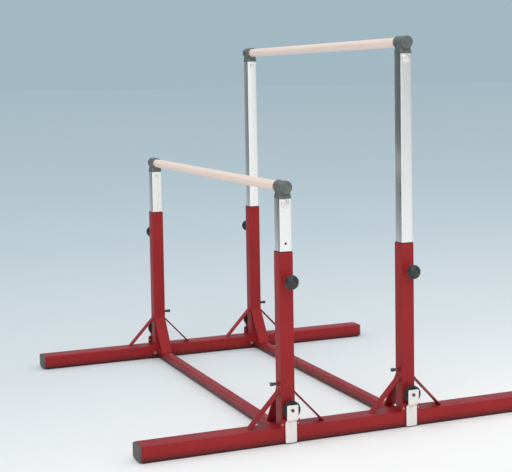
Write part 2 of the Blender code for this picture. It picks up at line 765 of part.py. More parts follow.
def head_bolt():
    """Domed washer and bolt head on the inner tube's outer face, shank through, nut on the inner face."""
    face = INNER_FACE + FIT
    crown = face + DOME_HEIGHT
    top = crown + BOLT_HEAD_HEIGHT
    nut_top = -face - NUT_HEIGHT
    profile = [(0.0, top), (BOLT_HEAD_RADIUS * HEAD_TAPER, top), (BOLT_HEAD_RADIUS, crown)]
    profile += [(DOME_RADIUS * HEAD_TAPER, (face + DOME_RIM + 2 * crown) / 3), (DOME_RADIUS, face + DOME_RIM)]
    profile += [(DOME_RADIUS, face), (HEAD_BOLT_RADIUS, face)]
    profile += [(HEAD_BOLT_RADIUS, -face), (NUT_RADIUS, -face), (NUT_RADIUS, nut_top), (0.0, nut_top)]
    return shift(facing_out(turned("dome", profile, ROUND_MEDIUM)), z=-HEAD_BOLT_DROP)


def plunger_housing():
    """Turned housing of an index plunger, welded on the upright's outer face."""
    root = TUBE_FACE - WELD
    step = TUBE_FACE + HOUSING_FLANGE
    top = TUBE_FACE + HOUSING_LENGTH
    profile = [(0.0, top), (HOUSING_RADIUS - TURNED_EDGE, top), (HOUSING_RADIUS, top - TURNED_EDGE)]
    profile += [(HOUSING_RADIUS, step), (HOUSING_FLANGE_RADIUS, step)]
    profile += [(HOUSING_FLANGE_RADIUS, root), (0.0, root)]
    return shift(facing_out(turned("housing", profile, ROUND_MEDIUM)), z=PLUNGER_HEIGHT)


def plunger():
    """Index pin with its ball knob, drawn back so that its tip clears the inner tube."""
    tip = INNER_FACE + PIN_PARK_GAP
    base = TUBE_FACE + HOUSING_LENGTH + KNOB_SEAT_GAP + PIN_TRAVEL
    crown = base + KNOB_LENGTH
    rise = KNOB_RADIUS * KNOB_FLATNESS
    middle = crown - rise
    profile = [(0.0, crown - KNOB_CAP_STEP), (KNOB_CAP_RADIUS, crown - KNOB_CAP_STEP)]
    for degrees in KNOB_ANGLES:
        angle = math.radians(degrees)
        profile.append((KNOB_RADIUS * math.cos(angle), middle + rise * math.sin(angle)))
    profile += [(KNOB_NECK_RADIUS, base), (PIN_RADIUS, base)]
    profile += [(PIN_RADIUS, tip + TURNED_EDGE), (PIN_RADIUS - TURNED_EDGE, tip), (0.0, tip)]
    return facing_out(turned("plunger", profile, ROUND_MEDIUM + 2))


def pivot_bolt():
    """Bolt that a lever turns on, with a spacer before the pivot plate and a nut behind it."""
    lever_front = LEVER_TAIL_BACK + LEVER_THICKNESS + FIT
    lever_back = LEVER_TAIL_BACK - FIT
    top = lever_front + PIVOT_HEAD_HEIGHT
    nut_end = PLATE_BACK - FIT - PIVOT_NUT_HEIGHT
    profile = [(0.0, top), (PIVOT_HEAD_RADIUS * HEAD_TAPER, top), (PIVOT_HEAD_RADIUS, lever_front)]
    profile += [(PIVOT_RADIUS, lever_front), (PIVOT_RADIUS, lever_back), (PIVOT_HEAD_RADIUS, lever_back)]
    profile += [(PIVOT_HEAD_RADIUS, PLATE_FACE + FIT), (PIVOT_RADIUS, PLATE_FACE + FIT)]
    profile += [(PIVOT_RADIUS, PLATE_BACK - FIT), (PIVOT_HEAD_RADIUS, PLATE_BACK - FIT)]
    profile += [(PIVOT_HEAD_RADIUS, nut_end), (0.0, nut_end)]
    return shift(facing_out(turned("pivot", profile, ROUND_HOLE)), z=PIVOT_HEIGHT)


def wheel_lever():
    """Joggled flat lever about its pivot: the tail lies near the foot, the head carries the wheel."""
    tail, head, t = -LEVER_TAIL_BACK, -LEVER_HEAD_BACK, LEVER_THICKNESS
    side = [(tail, LEVER_BOTTOM), (tail, JOGGLE_BOTTOM), (head, JOGGLE_TOP), (head, LEVER_TOP)]
    side += [(head - t, LEVER_TOP), (head - t, JOGGLE_TOP), (tail - t, JOGGLE_BOTTOM - t / 2)]
    side.append((tail - t, LEVER_BOTTOM))
    bar = along_x(extrude("lever", [side], LEVER_WIDTH))
    outline = plate_outline(LEVER_WIDTH, LEVER_BOTTOM, LEVER_TOP, LEVER_FOOT_CORNER, LEVER_CORNER)
    bar = combine(bar, along_y(extrude("stencil", [outline], 2 * BEYOND)), "INTERSECT")
    holes = [drill(PIVOT_RADIUS + FIT, PIVOT_HEIGHT), drill(AXLE_RADIUS + FIT, AXLE_HEIGHT)]
    return shift(cut(bar, gather("holes", holes)), z=-PIVOT_HEIGHT)


def wheel():
    """Solid tyre on a dished hub, with a recess for the axle nut behind, round its own axle."""
    half = WHEEL_THICKNESS / 2
    rim = WHEEL_RADIUS - TYRE_DEPTH
    bore = AXLE_RADIUS + FIT
    dish = half - HUB_DISH
    recess = AXLE_NUT_HEIGHT + 2 * FIT - half
    recess_radius = AXLE_NUT_RADIUS + TURNED_EDGE
    profile = [(bore, half), (HUB_RADIUS, half), (HUB_RADIUS, dish), (rim - TURNED_EDGE, dish)]
    profile += [(rim, half), (WHEEL_RADIUS - TYRE_EDGE, half), (WHEEL_RADIUS, half - TYRE_EDGE)]
    profile += [(WHEEL_RADIUS, TYRE_EDGE - half), (WHEEL_RADIUS - TYRE_EDGE, -half)]
    profile += [(recess_radius, -half), (recess_radius, recess), (bore, recess)]
    return facing_out(turned("wheel", profile, ROUND_WHEEL, closed=True))


def wheel_axle():
    """Axle bolt from the lever's front, with a thin nut in the wheel's recess."""
    front = LEVER_HEAD_BACK + LEVER_THICKNESS + FIT - WHEEL_MIDDLE
    top = front + AXLE_HEAD_HEIGHT
    nut_base = -WHEEL_THICKNESS / 2
    nut_top = nut_base + AXLE_NUT_HEIGHT
    profile = [(0.0, top), (AXLE_HEAD_RADIUS * HEAD_TAPER, top), (AXLE_HEAD_RADIUS, top - TURNED_EDGE)]
    profile += [(AXLE_HEAD_RADIUS, front), (AXLE_RADIUS, front), (AXLE_RADIUS, nut_top)]
    profile += [(AXLE_NUT_RADIUS, nut_top), (AXLE_NUT_RADIUS, nut_base), (0.0, nut_base)]
    return facing_out(turned("axle", profile, ROUND_HOLE))


def build_base():
    """Feet, plugs, strips and spreaders."""
    tube, cap, strip = foot(), end_cap(), grip_strip()
    for label, side in (("front", -1), ("back", 1)):
        place = (0, side * FOOT_SPAN / 2, 0)
        piece("foot_" + label, tube, RED_PAINT, location=place, back=side > 0)
        piece("grip_strip_" + label, strip, BLACK_RUBBER, location=place)
        piece("end_cap_" + label + "_right", cap, BLACK_PLASTIC, location=place)
        piece("end_cap_" + label + "_left", cap, BLACK_PLASTIC, location=place, back=True)
    bar = spreader()
    for label, x in (("low", -RAIL_SPACING / 2), ("high", RAIL_SPACING / 2)):
        piece("spreader_" + label, bar, RED_PAINT, location=(x, 0, 0))


def build_uprights():
    """Everything fixed at the four uprights."""
    shapes = {
        "socket": (socket(), RED_PAINT),
        "upright": (upright(), RED_PAINT),
        "guide_sleeve": (guide_sleeve(), BLACK_PLASTIC),
        "clamp_screw": (clamp_screw(), DARK_STEEL),
        "pivot_bolt": (pivot_bolt(), ZINC),
    }
    for corner, (x, side) in CORNERS.items():
        for kind, (shape, look) in shapes.items():
            place = (x, side * FOOT_SPAN / 2, 0)
            piece(kind + "_" + corner, shape, look, location=place, back=side > 0)


def build_rails():
    """Each rail with its heads, inner tubes and head bolts under one sliding frame."""
    head, bar, bolt = rail_head(), rail(), head_bolt()
    for label, x, base, holes_up in (
        ("low", -RAIL_SPACING / 2, LOW_HEAD_BASE, HOLE_COUNT_MOST_UP),
        ("high", RAIL_SPACING / 2, HIGH_HEAD_BASE, HOLE_COUNT_UP),
    ):
        slide = empty(label + "_slide", None, (x, 0, base))
        tube = shift(inner_tube(base, holes_up), z=-base)
        piece(label + "_rail", bar, BEECH, slide, (0, 0, HEAD_AXIS_RISE))
        for end, side in (("front", -1), ("back", 1)):
            place = (0, side * FOOT_SPAN / 2, 0)
            corner = label + "_" + end
            piece("inner_tube_" + corner, tube, ALUMINIUM, slide, place, side > 0)
            piece("rail_head_" + corner, head, DARK_CAST, slide, place, side > 0)
            piece("head_bolt_" + corner, bolt, ZINC, slide, place, side > 0)


def build_plungers():
    """The four index plungers, each on its own sliding frame."""
    shape = plunger()
    for corner, (x, side) in CORNERS.items():
        frame = empty("plunger_slide_" + corner, None, (x, side * FOOT_SPAN / 2, PLUNGER_HEIGHT))
        piece("plunger_" + corner, shape, BLACK_PLASTIC, frame, back=side > 0)


def build_wheels():
    """The four wheel levers on their pivots, each with its axle and wheel."""
    lever, axle, tyre = wheel_lever(), wheel_axle(), wheel()
    for corner, (x, side) in CORNERS.items():
        pivot = empty("lever_pivot_" + corner, None, (x, side * FOOT_SPAN / 2, PIVOT_HEIGHT))
        piece("wheel_lever_" + corner, lever, ZINC, pivot, back=side > 0)
        hub = empty("wheel_hub_" + corner, pivot, (0, side * WHEEL_MIDDLE, WHEEL_ARM))
        piece("wheel_axle_" + corner, axle, DARK_STEEL, hub, back=side > 0)
        piece("wheel_" + corner, tyre, BLACK_RUBBER, hub, back=side > 0)


clear_scene()
BENCH = collection("workbench")
MODEL = collection("parallel_bars")
build_base()
build_uprights()
build_rails()
build_plungers()
build_wheels()
for original in list(BENCH.objects):
    bpy.data.objects.remove(original, do_unlink=True)
bpy.data.collections.remove(BENCH)
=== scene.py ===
import math

import bmesh
import bpy
from mathutils import Matrix, Vector, noise


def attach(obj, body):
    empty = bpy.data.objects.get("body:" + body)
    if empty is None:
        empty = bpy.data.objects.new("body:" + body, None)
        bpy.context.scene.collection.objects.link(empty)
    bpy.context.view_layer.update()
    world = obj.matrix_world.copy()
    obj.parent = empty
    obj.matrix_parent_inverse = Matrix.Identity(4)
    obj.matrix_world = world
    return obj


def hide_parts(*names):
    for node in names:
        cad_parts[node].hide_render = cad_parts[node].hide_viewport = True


# View: the image in pixels, the camera's place in metres and its angles in degrees
IMAGE_WIDTH = 512
IMAGE_HEIGHT = 472
FOCAL_PIXELS = 1205.12
CENTRE_ROW = 170.0
SENSOR_WIDTH = 36.0
CAMERA_PLACE = (-2.2160, -5.2970, 1.4751)
CAMERA_YAW = 22.295
CAMERA_PITCH = 4.248
CAMERA_ROLL = 0.924
NEAR_LIMIT = 0.1
FAR_LIMIT = 500.0

# Sizes in metres, the same as those of the solids
FIT = 0.0003
HALF_SPAN = 0.850
HALF_SPACING = 0.279
RAILS = {"low": -HALF_SPACING, "high": HALF_SPACING}
ENDS = {"front": -1, "back": 1}
CORNERS = {a + "_" + b: (x, side) for a, x in RAILS.items() for b, side in ENDS.items()}
FOOT_LENGTH = 1.837
FOOT_DEPTH = 0.093
FOOT_HEIGHT = 0.063
FOOT_WALL = 0.003
FOOT_CORNER = 0.007
FOOT_BOTTOM = 0.005
FOOT_TOP = 0.068
CAP_THICKNESS = 0.010
CAP_CORNER = 0.012
SPREADER = 0.041
SPREADER_WALL = 0.0025
SPREADER_BOTTOM = 0.006
FLANGE_EAR = 0.0325
FLANGE_ABOVE = 0.0095
FLANGE_BELOW = 0.0015
FLANGE_THICKNESS = 0.005
FLANGE_BOLT_OUT = 0.03675
LOW_SCREW_INWARD = 0.200
TUBE = 0.060
TUBE_WALL = 0.002
TUBE_CORNER = 0.0045
TUBE_TOP = 0.781
SOCKET_TOP = 0.220
SOCKET_WALL = 0.0055
SPIGOT_TOP = 0.335
SPIGOT_WALL = 0.003
BRACE_SINK = 0.0008
NARROW_BRACE = {"drop": 0.006, "reach": 0.137, "thickness": 0.005, "width": 0.038}
WIDE_BRACE = {"drop": 0.001, "reach": 0.115, "thickness": 0.006, "width": 0.056}
# Half length, offset and radius of the beads at a brace's upper and lower end
NARROW_BEADS = ((0.018, -0.0005, 0.0019), (0.018, 0.0004, 0.0017))
WIDE_BEADS = ((0.026, -0.001, 0.0018), (0.019, 0.001, 0.0017))
CLAMP_HEIGHT = 0.241
PLUNGER_HEIGHT = 0.667
PLUNGER_TRAVEL = 0.009
HOUSING_LENGTH = 0.019
HOUSING_RADIUS = 0.011
HOUSING_COLLAR = 0.015
HOUSING_COLLAR_LENGTH = 0.004
SLEEVE_LENGTH = 0.065
SLEEVE_LIP = 0.004
INNER = 0.053
INNER_WALL = 0.0025
INNER_CORNER = 0.003
INNER_BOTTOM = 0.495
HOLE_PITCH = 0.050
HOLES_DOWN = 3
HOLES_UP = {"low": 3, "high": 2}
HEAD_BASE = {"low": 0.998, "high": 1.578}
HEAD_BOLT_DROP = 0.020
RAIL_RADIUS = 0.021
AXIS_RISE = 0.047
HEAD_LENGTH = 0.080
HEAD_RING = 0.027
HEAD_WAIST = 0.025
HEAD_CLOSED = 0.012
COLLAR = 0.0545
PLUG_LENGTH = 0.060
KNOB_RADIUS = 0.030
KNOB_LENGTH = 0.043
PIVOT_HEIGHT = 0.083
AXLE_HEIGHT = 0.143
PLATE_FACE = 0.049
PLATE_THICKNESS = 0.0033
PLATE_HALF = 0.043
PLATE_BELOW = 0.033
PLATE_ABOVE = 0.021
PLATE_SCREW_OUT = 0.035
LEVER_TAIL = 0.0524
LEVER_HEAD = 0.070
LEVER_THICKNESS = 0.004
LEVER_HALF = 0.025
LEVER_BOTTOM = 0.006
LEVER_TOP = 0.165
JOGGLE_START = 0.0925
JOGGLE_END = 0.1045
WHEEL_MIDDLE = 0.061
WHEEL_RADIUS = 0.0375

# Radii of holes and of the shanks in them
BOLT_HOLE = 0.0043
INDEX_HOLE = 0.0052
PIVOT_HOLE = 0.0053
PIN_HOLE = 0.005
THIN_SHANK = 0.004
PIVOT_SHANK = 0.005

# Fineness of the meshes
MERGE = 1e-7
HEXAGON_STEPS = 36
BEAD_STEP = 0.0013
BEAD_SIDES = 8
CAST_VOXEL = 0.0009
SHARP_ANGLE = math.radians(32)

# Colours and directions of the surround; a field grows between the two cosines
FAR = (0.362, 0.479, 0.546)
FLOOR_HALF = 250
FLOOR_MIDDLE = (1.5, -9.0, 0.0)
FLOOR_PALE_WITHIN = 8.0
FLOOR_TONES = [
    (0.0, FAR), (0.16, (0.395, 0.50, 0.56)), (0.40, (0.44, 0.546, 0.604)),
    (0.57, (0.518, 0.615, 0.668)), (0.80, (0.690, 0.750, 0.785)), (1.0, (0.945, 0.955, 0.962)),
]
FLAG_X = -3.0
FLAG_Y = (-2.5, 16.0)
FLAG_Z = (-0.01, 4.5)
FLAG_NEAR = (4.5, (0.062, 0.072, 0.076))
FLAG_FAR = (10.0, (0.25, 0.29, 0.31))
BEHIND_CAMERA = (0.40, -0.917, 0.0)
BEHIND_COSINES = (-0.35, 0.75)
BRIGHT_FIELD = (0.17, -0.985, 0.0)
BRIGHT_COSINES = (0.938, 0.979)
BRIGHT = (1.34, 1.32, 1.29)
GREY = (0.30, 0.305, 0.30)
OVERHEAD = (0.92, 0.94, 0.96)
OVERHEAD_COSINES = (0.25, 0.9)
AMBIENT = (0.80, 0.80, 0.80)
LAMPS = (  # name, strength, size in degrees, direction toward it
    ("key", 0.75, 40, (-0.35, -0.80, 0.80)),
    ("top", 0.22, 60, (-0.30, 0.10, 1.0)),
)

# Turns: +Z to -Y, +Z to +Y, +Z to -X, and a profile in XY to one that runs along X
FACE_OUT = Matrix.Rotation(math.radians(90), 4, "X")
FACE_IN = Matrix.Rotation(math.radians(-90), 4, "X")
FACE_LEFT = Matrix.Rotation(math.radians(-90), 4, "Y")
ALONG_X = Matrix(((0, 0, 1, 0), (1, 0, 0, 0), (0, 1, 0, 0), (0, 0, 0, 1)))


def about_z(degrees):
    return Matrix.Rotation(math.radians(degrees), 4, "Z")


def linked(name, data):
    """A new object in the scene."""
    obj = bpy.data.objects.new(name, data)
    bpy.context.scene.collection.objects.link(obj)
    return obj


def camera():
    data = bpy.data.cameras.new("camera")
    data.sensor_fit = "HORIZONTAL"
    data.sensor_width = SENSOR_WIDTH
    data.lens = FOCAL_PIXELS / IMAGE_WIDTH * SENSOR_WIDTH
    data.shift_y = (CENTRE_ROW - IMAGE_HEIGHT / 2) / IMAGE_WIDTH
    data.clip_start = NEAR_LIMIT
    data.clip_end = FAR_LIMIT
    yaw, pitch, roll = (math.radians(a) for a in (CAMERA_YAW, CAMERA_PITCH, CAMERA_ROLL))
    ahead = math.cos(pitch)
    forward = Vector((math.sin(yaw) * ahead, math.cos(yaw) * ahead, -math.sin(pitch)))
    right = Vector((math.cos(yaw), -math.sin(yaw), 0.0))
    down = forward.cross(right)
    across = math.cos(roll) * right + math.sin(roll) * down
    below = -math.sin(roll) * right + math.cos(roll) * down
    turn = Matrix((across, -below, -forward)).transposed().to_4x4()
    obj = linked("camera", data)
    obj.matrix_world = Matrix.Translation(CAMERA_PLACE) @ turn
    bpy.context.scene.camera = obj


# Outlines


def soft(points, radius, steps=5, closed=False):
    """A polyline in two dimensions with its corners rounded."""
    rounded = []
    last = len(points) - 1
    for k, corner in enumerate(points):
        corner = Vector(corner)
        if not closed and k in (0, last):
            rounded.append(tuple(corner))
            continue
        before = Vector(points[k - 1]) - corner
        after = Vector(points[(k + 1) % len(points)]) - corner
        reach = radius / math.tan(before.angle(after) / 2)
        reach = min(reach, 0.49 * before.length, 0.49 * after.length)
        start = corner + before.normalized() * reach
        end = corner + after.normalized() * reach
        for step in range(steps + 1):
            t = step / steps
            rounded.append(tuple(start * (1 - t) ** 2 + corner * (2 * t * (1 - t)) + end * t ** 2))
    return rounded


def outline(width, height, radius, steps=6, centre=(0.0, 0.0)):
    """A rectangle with rounded corners, anticlockwise."""
    x, y = width / 2, height / 2
    corners = [(x, -y), (x, y), (-x, y), (-x, -y)]
    return [(a + centre[0], b + centre[1]) for a, b in soft(corners, radius, steps, closed=True)]


def circle(radius, centre=(0.0, 0.0), steps=32):
    turns = [2 * math.pi * k / steps for k in range(steps)]
    return [(centre[0] + radius * math.cos(a), centre[1] + radius * math.sin(a)) for a in turns]


def level(points, z):
    """Points of an outline at one height."""
    return [(x, y, z) for x, y in points]


def hexagon(radius, z, roundness=0.0):
    """A hexagon by its corner radius that can turn into a circle inside its flats."""
    sixth = math.pi / 3
    flat = radius * math.cos(sixth / 2)
    loop = []
    for k in range(HEXAGON_STEPS):
        angle = 2 * math.pi * k / HEXAGON_STEPS
        edge = flat / math.cos((angle + sixth / 2) % sixth - sixth / 2)
        r = edge * (1 - roundness) + flat * roundness
        loop.append((r * math.cos(angle), r * math.sin(angle), z))
    return loop


# Meshes


def mesh_of(vertices, faces):
    """A closed mesh with its faces turned outwards."""
    bm = bmesh.new()
    made = [bm.verts.new(v) for v in vertices]
    for face in faces:
        bm.faces.new([made[k] for k in face])
    bmesh.ops.remove_doubles(bm, verts=bm.verts, dist=MERGE)
    bmesh.ops.recalc_face_normals(bm, faces=bm.faces)
    mesh = bpy.data.meshes.new("mesh")
    bm.to_mesh(mesh)
    bm.free()
    return mesh


def loft(loops, ring=False):
    """A skin over loops of equally many points, with flat ends or closed to a ring."""
    count = len(loops[0])
    vertices = [point for loop in loops for point in loop]
    faces = []
    for k in range(len(loops) if ring else len(loops) - 1):
        a, b = k * count, (k + 1) % len(loops) * count
        for i in range(count):
            j = (i + 1) % count
            faces.append((a + i, a + j, b + j, b + i))
    if not ring:
        faces.append(tuple(range(count)))
        faces.append(tuple(range(len(vertices) - count, len(vertices))))
    return mesh_of(vertices, faces)


def lathe(profile, steps=48, ring=False):
    """A turned solid round Z from (radius, height) points."""
    return loft([level(circle(max(r, 0.0), steps=steps), h) for r, h in profile], ring)


def moved(mesh, turn, x=0.0, y=0.0, z=0.0):
    """The mesh turned, then shifted."""
    mesh.transform(turn)
    mesh.transform(Matrix.Translation((x, y, z)))
    return mesh


def shifted(mesh, x=0.0, y=0.0, z=0.0):
    return moved(mesh, Matrix(), x, y, z)


def joined(meshes):
    """Several meshes as one, with their own material numbers."""
    bm = bmesh.new()
    for mesh in meshes:
        bm.from_mesh(mesh)
    whole = bpy.data.meshes.new("mesh")
    bm.to_mesh(whole)
    bm.free()
    for mesh in meshes:
        bpy.data.meshes.remove(mesh)
    return whole


def numbered(mesh, number):
    """The mesh with one material number on all its faces."""
    for polygon in mesh.polygons:
        polygon.material_index = number
    return mesh


def evaluated(obj):
    """The object's mesh with its modifiers; the object goes."""
    graph = bpy.context.evaluated_depsgraph_get()
    mesh = bpy.data.meshes.new_from_object(obj.evaluated_get(graph))
    bpy.data.objects.remove(obj)
    return mesh


def applied(mesh, kind, **settings):
    """The mesh after one modifier."""
    obj = linked("work", mesh)
    modifier = obj.modifiers.new("work", kind)
    for key, value in settings.items():
        setattr(modifier, key, value)
    result = evaluated(obj)
    bpy.data.meshes.remove(mesh)
    return result


def cut(mesh, tool):
    """The mesh without the space of another closed mesh."""
    cutter = linked("tool", tool)
    result = applied(mesh, "BOOLEAN", operation="DIFFERENCE", object=cutter, solver="EXACT")
    bpy.data.objects.remove(cutter)
    bpy.data.meshes.remove(tool)
    return result


def plate(outlines, thickness, edge, steps=2):
    """A flat plate in XY with holes and rounded edges."""
    curve = bpy.data.curves.new("plate", "CURVE")
    curve.dimensions = "2D"
    curve.fill_mode = "BOTH"
    curve.extrude = thickness / 2 - edge
    curve.bevel_depth = edge
    curve.bevel_resolution = steps
    curve.offset = -edge
    for points in outlines:
        spline = curve.splines.new("POLY")
        spline.points.add(len(points) - 1)
        for place, (x, y) in zip(spline.points, points):
            place.co = (x, y, 0.0, 1.0)
        spline.use_cyclic_u = True
    mesh = evaluated(linked("plate", curve))
    bpy.data.curves.remove(curve)
    bm = bmesh.new()
    bm.from_mesh(mesh)
    bmesh.ops.remove_doubles(bm, verts=bm.verts, dist=10 * MERGE)
    bmesh.ops.recalc_face_normals(bm, faces=bm.faces)
    bm.to_mesh(mesh)
    bm.free()
    mesh.materials.clear()
    return mesh


def square_tube(width, depth, corner, wall, start, end, edge=0.0005):
    """An open tube along Z with slightly rounded rims."""
    loops = []
    for inset, z in (
        (edge, start), (0.0, start + edge), (0.0, end - edge), (edge, end),
        (wall - edge, end), (wall, end - edge), (wall, start + edge), (wall - edge, start),
    ):
        radius = max(corner - inset, 0.0005)
        loops.append(level(outline(width - 2 * inset, depth - 2 * inset, radius), z))
    return loft(loops, ring=True)


def bar(radius, start, end, steps=32):
    """A round bar with slightly rounded ends."""
    edge = 0.0005
    start, end = Vector(start), Vector(end)
    length = (end - start).length
    profile = [(0.0, 0.0), (radius - edge, 0.0), (radius, edge)]
    profile += [(radius, length - edge), (radius - edge, length), (0.0, length)]
    turn = (end - start).to_track_quat("Z", "Y").to_matrix().to_4x4()
    return moved(lathe(profile, steps), Matrix.Translation(start) @ turn)


def domed(radius, top_radius, shoulder, height, edge, segments=40, steps=4):
    """A low round solid on its seat: up to a shoulder, then to its height in the middle."""
    profile = [(0.0, 0.0), (radius, 0.0), (top_radius, shoulder), (0.0, height)]
    return lathe(soft(profile, edge, steps), segments)


def bolt_head(radius, height, washer=0.0, washer_height=0.0012):
    """A hexagon head with turned corners, on a washer, from its seat up along Z."""
    parts = []
    base = 0.0
    if washer:
        parts.append(domed(washer, washer, washer_height, washer_height, 0.0003, steps=3))
        base = washer_height
    loops = [hexagon(radius, base), hexagon(radius, base + height * 0.72)]
    loops += [hexagon(radius, base + height * 0.88, 0.6)]
    loops += [hexagon(radius * 0.97, base + height, 1.0)]
    return joined(parts + [loft(loops)])


def bead(path, radius, up, closed=True, pitch=0.0052):
    """A weld bead: a rippled round bar along a path."""
    path = [Vector(p) for p in path]
    if closed:
        path.append(path[0])
    points = []
    for a, b in zip(path, path[1:]):
        count = max(1, round((b - a).length / BEAD_STEP))
        points += [a.lerp(b, k / count) for k in range(count)]
    if not closed:
        points.append(path[-1])
    last = len(points) - 1
    loops = []
    up = Vector(up)
    for k, point in enumerate(points):
        ahead = points[(k + 1) % len(points)] if closed else points[min(k + 1, last)]
        behind = points[k - 1] if closed else points[max(k - 1, 0)]
        along = (ahead - behind).normalized()
        side = along.cross(up).normalized()
        above = side.cross(along)
        ripple = 1 + 0.13 * math.sin(2 * math.pi * k * BEAD_STEP / pitch)
        ripple *= 1 + 0.25 * noise.noise(point * 130.0)
        if not closed:
            ripple *= min(1.0, 0.35 + 0.25 * min(k, last - k))
        section = circle(radius * ripple, steps=BEAD_SIDES)
        loops.append([tuple(point + side * a + above * b) for a, b in section])
    return loft(loops, ring=closed)


# Shapes, each in the frame of one upright: -Y faces out of the apparatus


def foot_mesh():
    """Foot tube with its two pivot plates, welded round their edges."""
    end = (FOOT_LENGTH - 2 * CAP_THICKNESS - 2 * FIT) / 2
    tube = square_tube(FOOT_DEPTH, FOOT_HEIGHT, FOOT_CORNER, FOOT_WALL, -end, end, 0.0006)
    parts = [moved(tube, ALONG_X, z=(FOOT_TOP + FOOT_BOTTOM) / 2)]
    half, bottom, top = PLATE_HALF, PIVOT_HEIGHT - PLATE_BELOW, PIVOT_HEIGHT + PLATE_ABOVE
    corners = [(half, bottom), (half, top), (-half, top), (-half, bottom)]
    edge, hole = soft(corners, 0.011, 6, closed=True), circle(PIVOT_HOLE, (0.0, PIVOT_HEIGHT))
    chamfer = 0.004
    run = [(-half, FOOT_TOP - 0.008), (-half, bottom + chamfer), (-half + chamfer, bottom)]
    run += [(-a, b) for a, b in reversed(run)]
    for x in RAILS.values():
        sheet = plate([edge, hole], PLATE_THICKNESS, 0.0007)
        parts.append(moved(sheet, FACE_OUT, x=x, y=-PLATE_FACE + PLATE_THICKNESS / 2))
        path = [(x + a, -FOOT_DEPTH / 2, b) for a, b in run]
        parts.append(bead(path, 0.0016, (0, 1, 0), closed=False, pitch=0.004))
    return joined(parts)


def cap_mesh():
    """Moulded end cap at the +X end of a foot, with a soft rim and a hollow shank in the tube."""

    def loop(inset, radius, z):
        return level(outline(FOOT_DEPTH - 2 * inset, FOOT_HEIGHT - 2 * inset, radius), z)

    rim, steps = 0.0042, 8
    loops = [loop(0.0004, CAP_CORNER - 0.0004, 0.0), loop(0.0, CAP_CORNER, 0.0004)]
    for k in range(steps + 1):
        angle = math.pi / 2 * k / steps
        inset = rim * (1 - math.cos(angle))
        loops.append(loop(inset, CAP_CORNER - inset, CAP_THICKNESS - rim * (1 - math.sin(angle))))
    loops += [loop(0.008, 0.007, CAP_THICKNESS), loop(0.009, 0.006, CAP_THICKNESS - 0.0007)]
    cover = loft(loops)
    depth = FOOT_DEPTH - 2 * FOOT_WALL - 2 * FIT
    height = FOOT_HEIGHT - 2 * FOOT_WALL - 2 * FIT
    shank = square_tube(depth, height, 0.004, 0.0025, -0.022, 0.0005)
    x, z = FOOT_LENGTH / 2 - CAP_THICKNESS, (FOOT_TOP + FOOT_BOTTOM) / 2
    return moved(joined([cover, shank]), ALONG_X, x=x, z=z)


def spreader_mesh():
    """Spreader tube with a welded flange at both ends."""
    end = (2 * HALF_SPAN - FOOT_DEPTH - 2 * FIT) / 2
    middle = (0.0, SPREADER_BOTTOM + SPREADER / 2)
    tube = square_tube(SPREADER, SPREADER, TUBE_CORNER, SPREADER_WALL, -end, end)
    parts = [moved(tube, FACE_OUT, z=middle[1])]
    bottom, top = SPREADER_BOTTOM - FLANGE_BELOW, SPREADER_BOTTOM + SPREADER + FLANGE_ABOVE
    width = SPREADER + 2 * FLANGE_EAR
    edge = outline(width, top - bottom, TUBE_CORNER, centre=(0.0, (top + bottom) / 2))
    bore_size = SPREADER - 2 * SPREADER_WALL
    bore = outline(bore_size, bore_size, 0.002, centre=middle)
    seam = outline(SPREADER, SPREADER, TUBE_CORNER, centre=middle)
    for side in (-1, 1):
        sheet = plate([edge, bore], FLANGE_THICKNESS, 0.0008)
        parts.append(moved(sheet, FACE_OUT, y=side * (end - FLANGE_THICKNESS / 2)))
        y = side * (end - FLANGE_THICKNESS)
        parts.append(bead([(a, y, b) for a, b in seam], 0.0019, (0, 1, 0)))
    return joined(parts)


def brace_parts(size, beads, foot, turn):
    """A flat bar from the stub down and out, with a bead at each end, turned round Z."""
    near, top = TUBE / 2, SOCKET_TOP - size["drop"]
    far = near + size["reach"]
    angle = math.atan2(top - foot, far - near + BRACE_SINK)
    rise, run = size["thickness"] / math.cos(angle), size["thickness"] / math.sin(angle)
    inner = near - BRACE_SINK
    corners = [(inner, top - rise), (far - run, foot), (far, foot), (inner, top)]
    parts = [moved(plate([corners], size["width"], 0.0009), FACE_OUT)]
    ends = ((near, top, (1, 0, 0)), (far, foot - FIT, (0, 0, 1)))
    for (x, z, up), (half, offset, radius) in zip(ends, beads):
        path = [(x, -half, z + offset), (x, half, z + offset)]
        parts.append(bead(path, radius, up, closed=False))
    return [moved(mesh, about_z(turn)) for mesh in parts]


def socket_mesh():
    """Stub on the foot with its spigot and three braces, welded together and to the foot."""
    stub = square_tube(TUBE, TUBE, TUBE_CORNER, SOCKET_WALL, FOOT_TOP + FIT, SOCKET_TOP)
    size = TUBE - 2 * TUBE_WALL - 2 * FIT
    spigot = square_tube(size, size, 0.0025, SPIGOT_WALL, SOCKET_TOP - 0.01, SPIGOT_TOP)
    parts = [stub, spigot]
    for turn in (0, 180):
        parts += brace_parts(NARROW_BRACE, NARROW_BEADS, FOOT_TOP + FIT, turn)
    parts += brace_parts(WIDE_BRACE, WIDE_BEADS, SPREADER_BOTTOM + SPREADER + FIT, 90)
    seam = level(outline(TUBE, TUBE, TUBE_CORNER), FOOT_TOP + 0.0008)
    parts.append(bead(seam, 0.0023, (0, 0, 1)))
    return joined(parts)


